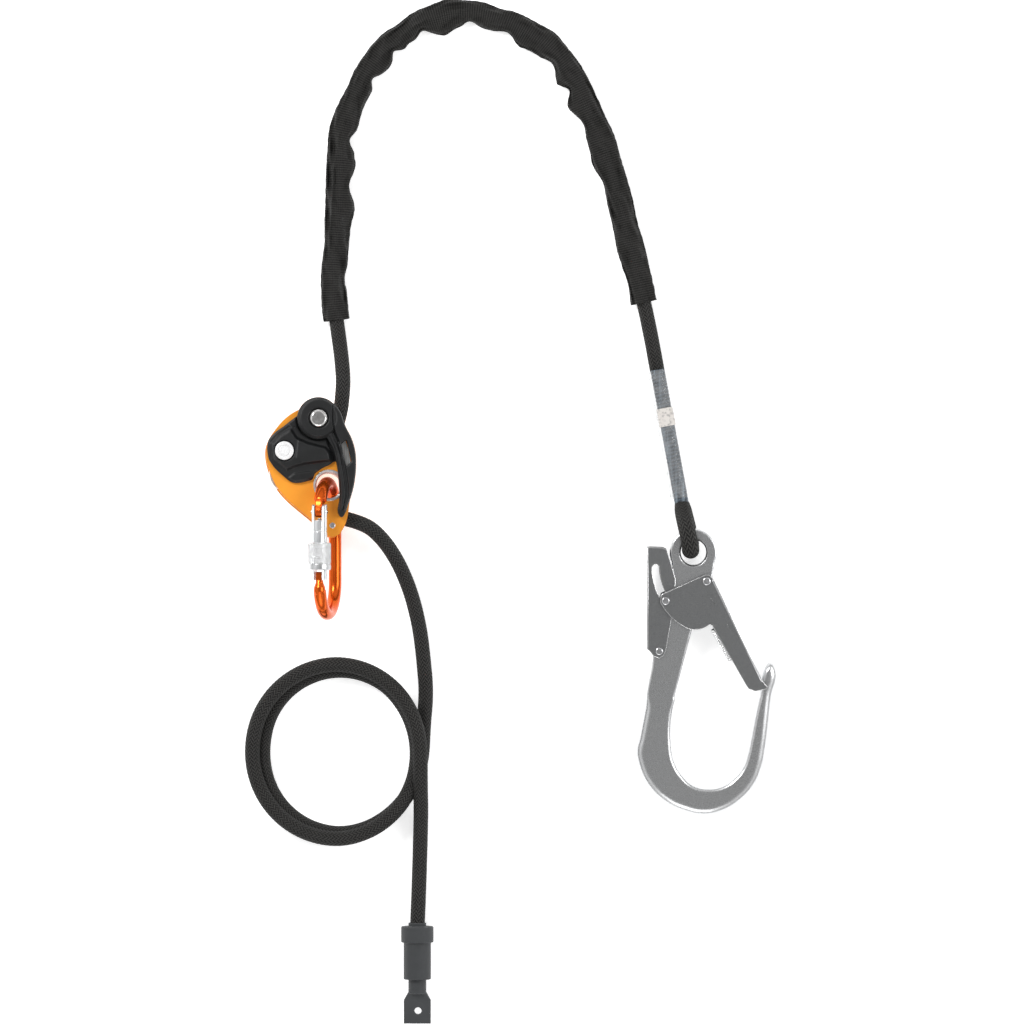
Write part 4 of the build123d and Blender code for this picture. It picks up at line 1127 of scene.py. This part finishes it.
def carabiner_bar(material):
    """The bent bar with its hinge tang and keyed nose, in one forged skin."""
    around, turn_steps = 40, 60
    near_bend = np.linspace(radians(117), radians(270), turn_steps)
    far_bend = np.linspace(-pi / 2, radians(75), turn_steps)
    way = [(BOW_R * (1 + cos(a)), BOW_R * sin(a), a + pi / 2) for a in near_bend]
    way += [(BOW_END + BOW_R * cos(a), BOW_R * sin(a), a + pi / 2) for a in far_bend]
    rings = []
    for p, q, heading in way:
        out = (sin(heading), -cos(heading))
        rings.append([
            (p + BAR_R * cos(b) * out[0], q + BAR_R * cos(b) * out[1], BAR_R * sin(b))
            for b in np.linspace(0, tau, around, endpoint=False)
        ])
    bar = grid_mesh(np.array(rings), np.arange(len(rings), dtype=float))
    bar.transform(CARAB)
    tang = prism(CARAB, [TANG], -2.95, 2.95, 0.8)
    key = prism(CARAB, [KEY], -2.6, 2.6, 0.4)
    gate_axis = CARAB @ Matrix.Translation((0, BOW_R, 0)) @ Matrix.Rotation(pi / 2, 4, "Y")
    nose = lathe(gate_axis, (0.0, 0.0), [
        (0.3, 79.3), (2.8, 79.4), (3.4, 81.6), (4.6, 84.8), (4.9, 88.0), (4.0, 90.5), (0.3, 91.0),
    ])
    mesh = fused([bar, tang, key, nose], 0.42, 3)
    return finish_piece(
        "carabiner_bar", mesh, "carabiner", material, 60.0, ("carabiner_body",)
    )


# ---- all of it ----
def dress(material, *names):
    """Give CAD nodes a material."""
    for name in names:
        for slot in nodes[name].material_slots:
            slot.material = material


def dress_nodes(sheet_steel):
    """The materials of the CAD nodes that are shown as they are."""
    streaks = (1.0, 0.06, 1.0)
    orange = anodised("orange_anodised", tint(254, 164, 48), tint(186, 88, 18), 0.3, 0.42)
    bright = metal("steel_bright", (222, 223, 225), (242, 242, 244), 0.12, 300.0, edge=0.0001)
    chrome = metal("axle_chrome", (214, 212, 210), (240, 239, 238), 0.1, 300.0, edge=0.0001, dents=0.0013)
    brushed = metal("steel_brushed", (168, 168, 166), (228, 228, 226), 0.4, 700.0, streaks)
    dark_steel = metal("steel_dark", (60, 61, 63), (96, 97, 99), 0.4, 500.0)
    gate_silver = metal(
        "gate_silver", (206, 208, 210), (236, 237, 239), 0.24, 600.0, (1.0, 0.05, 1.0), bare=0.7
    )
    dress(orange, "front_plate", "rear_plate")
    dress(chrome, "handle_axle")
    dress(bright, "lower_rivet", "gate_rivet", "gate_pivot", "lever_pivot", "lock_pin")
    dress(brushed, "wear_plate", "cam", "plate_spacers", "release_lever", "gate_pusher")
    dress(dark_steel, "handle_spring", "cam_spring", "gate_spring", "hook_gate_spring", "lever_spring")
    dress(gate_silver, "carabiner_gate")
    dress(sheet_steel, "hook_gate", "safety_lever")
    dress(rubber(), "end_stop")


def hard_pieces(sheet_steel):
    """The drawn pieces of the grab, the carabiner and the hook."""
    plastic = moulded()
    front_cover(plastic)
    release_handle(plastic)
    knurled_sleeve(metal("sleeve_silver", (196, 197, 198), (222, 223, 224), 0.36, 900.0, edge=0.0003))
    cam_rivet(metal("steel_turned", (226, 226, 226), (244, 244, 244), 0.5, 900.0, edge=0.0003, bare=0.35))
    # The rim colour here is the painted edge highlight.
    forged_hook(metal(
        "hook_alloy", (202, 203, 204), (216, 217, 218), 0.28, 2600.0, edge=0.0008, rim=(248, 248, 248)
    ))
    # Painted highlight: the folds are the sheet's own steel, given a lighter copy of it.
    sheet_folds(metal("fold_steel_highlight", (226, 227, 228), (244, 244, 245), 0.22, 1500.0, edge=0.0004))
    thumb_grips(sheet_steel)
    eye_sleeve(metal("steel_satin", (190, 191, 192), (216, 217, 218), 0.4, 900.0, edge=0.0004, bare=0.85))
    carabiner_bar(anodised("orange_polished", tint(222, 92, 20), tint(150, 48, 8), 0.8, 0.2))


def main():
    camera()
    studio()
    upper, upper_line, tail, tail_line = ropes()
    jacket = protector(upper_line)
    sewn_pieces = splice()
    # The rim colour here is the painted edge highlight.
    sheet_steel = metal(
        "hook_sheet", (134, 135, 136), (156, 157, 158), 0.38, 2200.0, edge=0.0012, rim=(244, 244, 244)
    )
    dress_nodes(sheet_steel)
    hard_pieces(sheet_steel)


main()
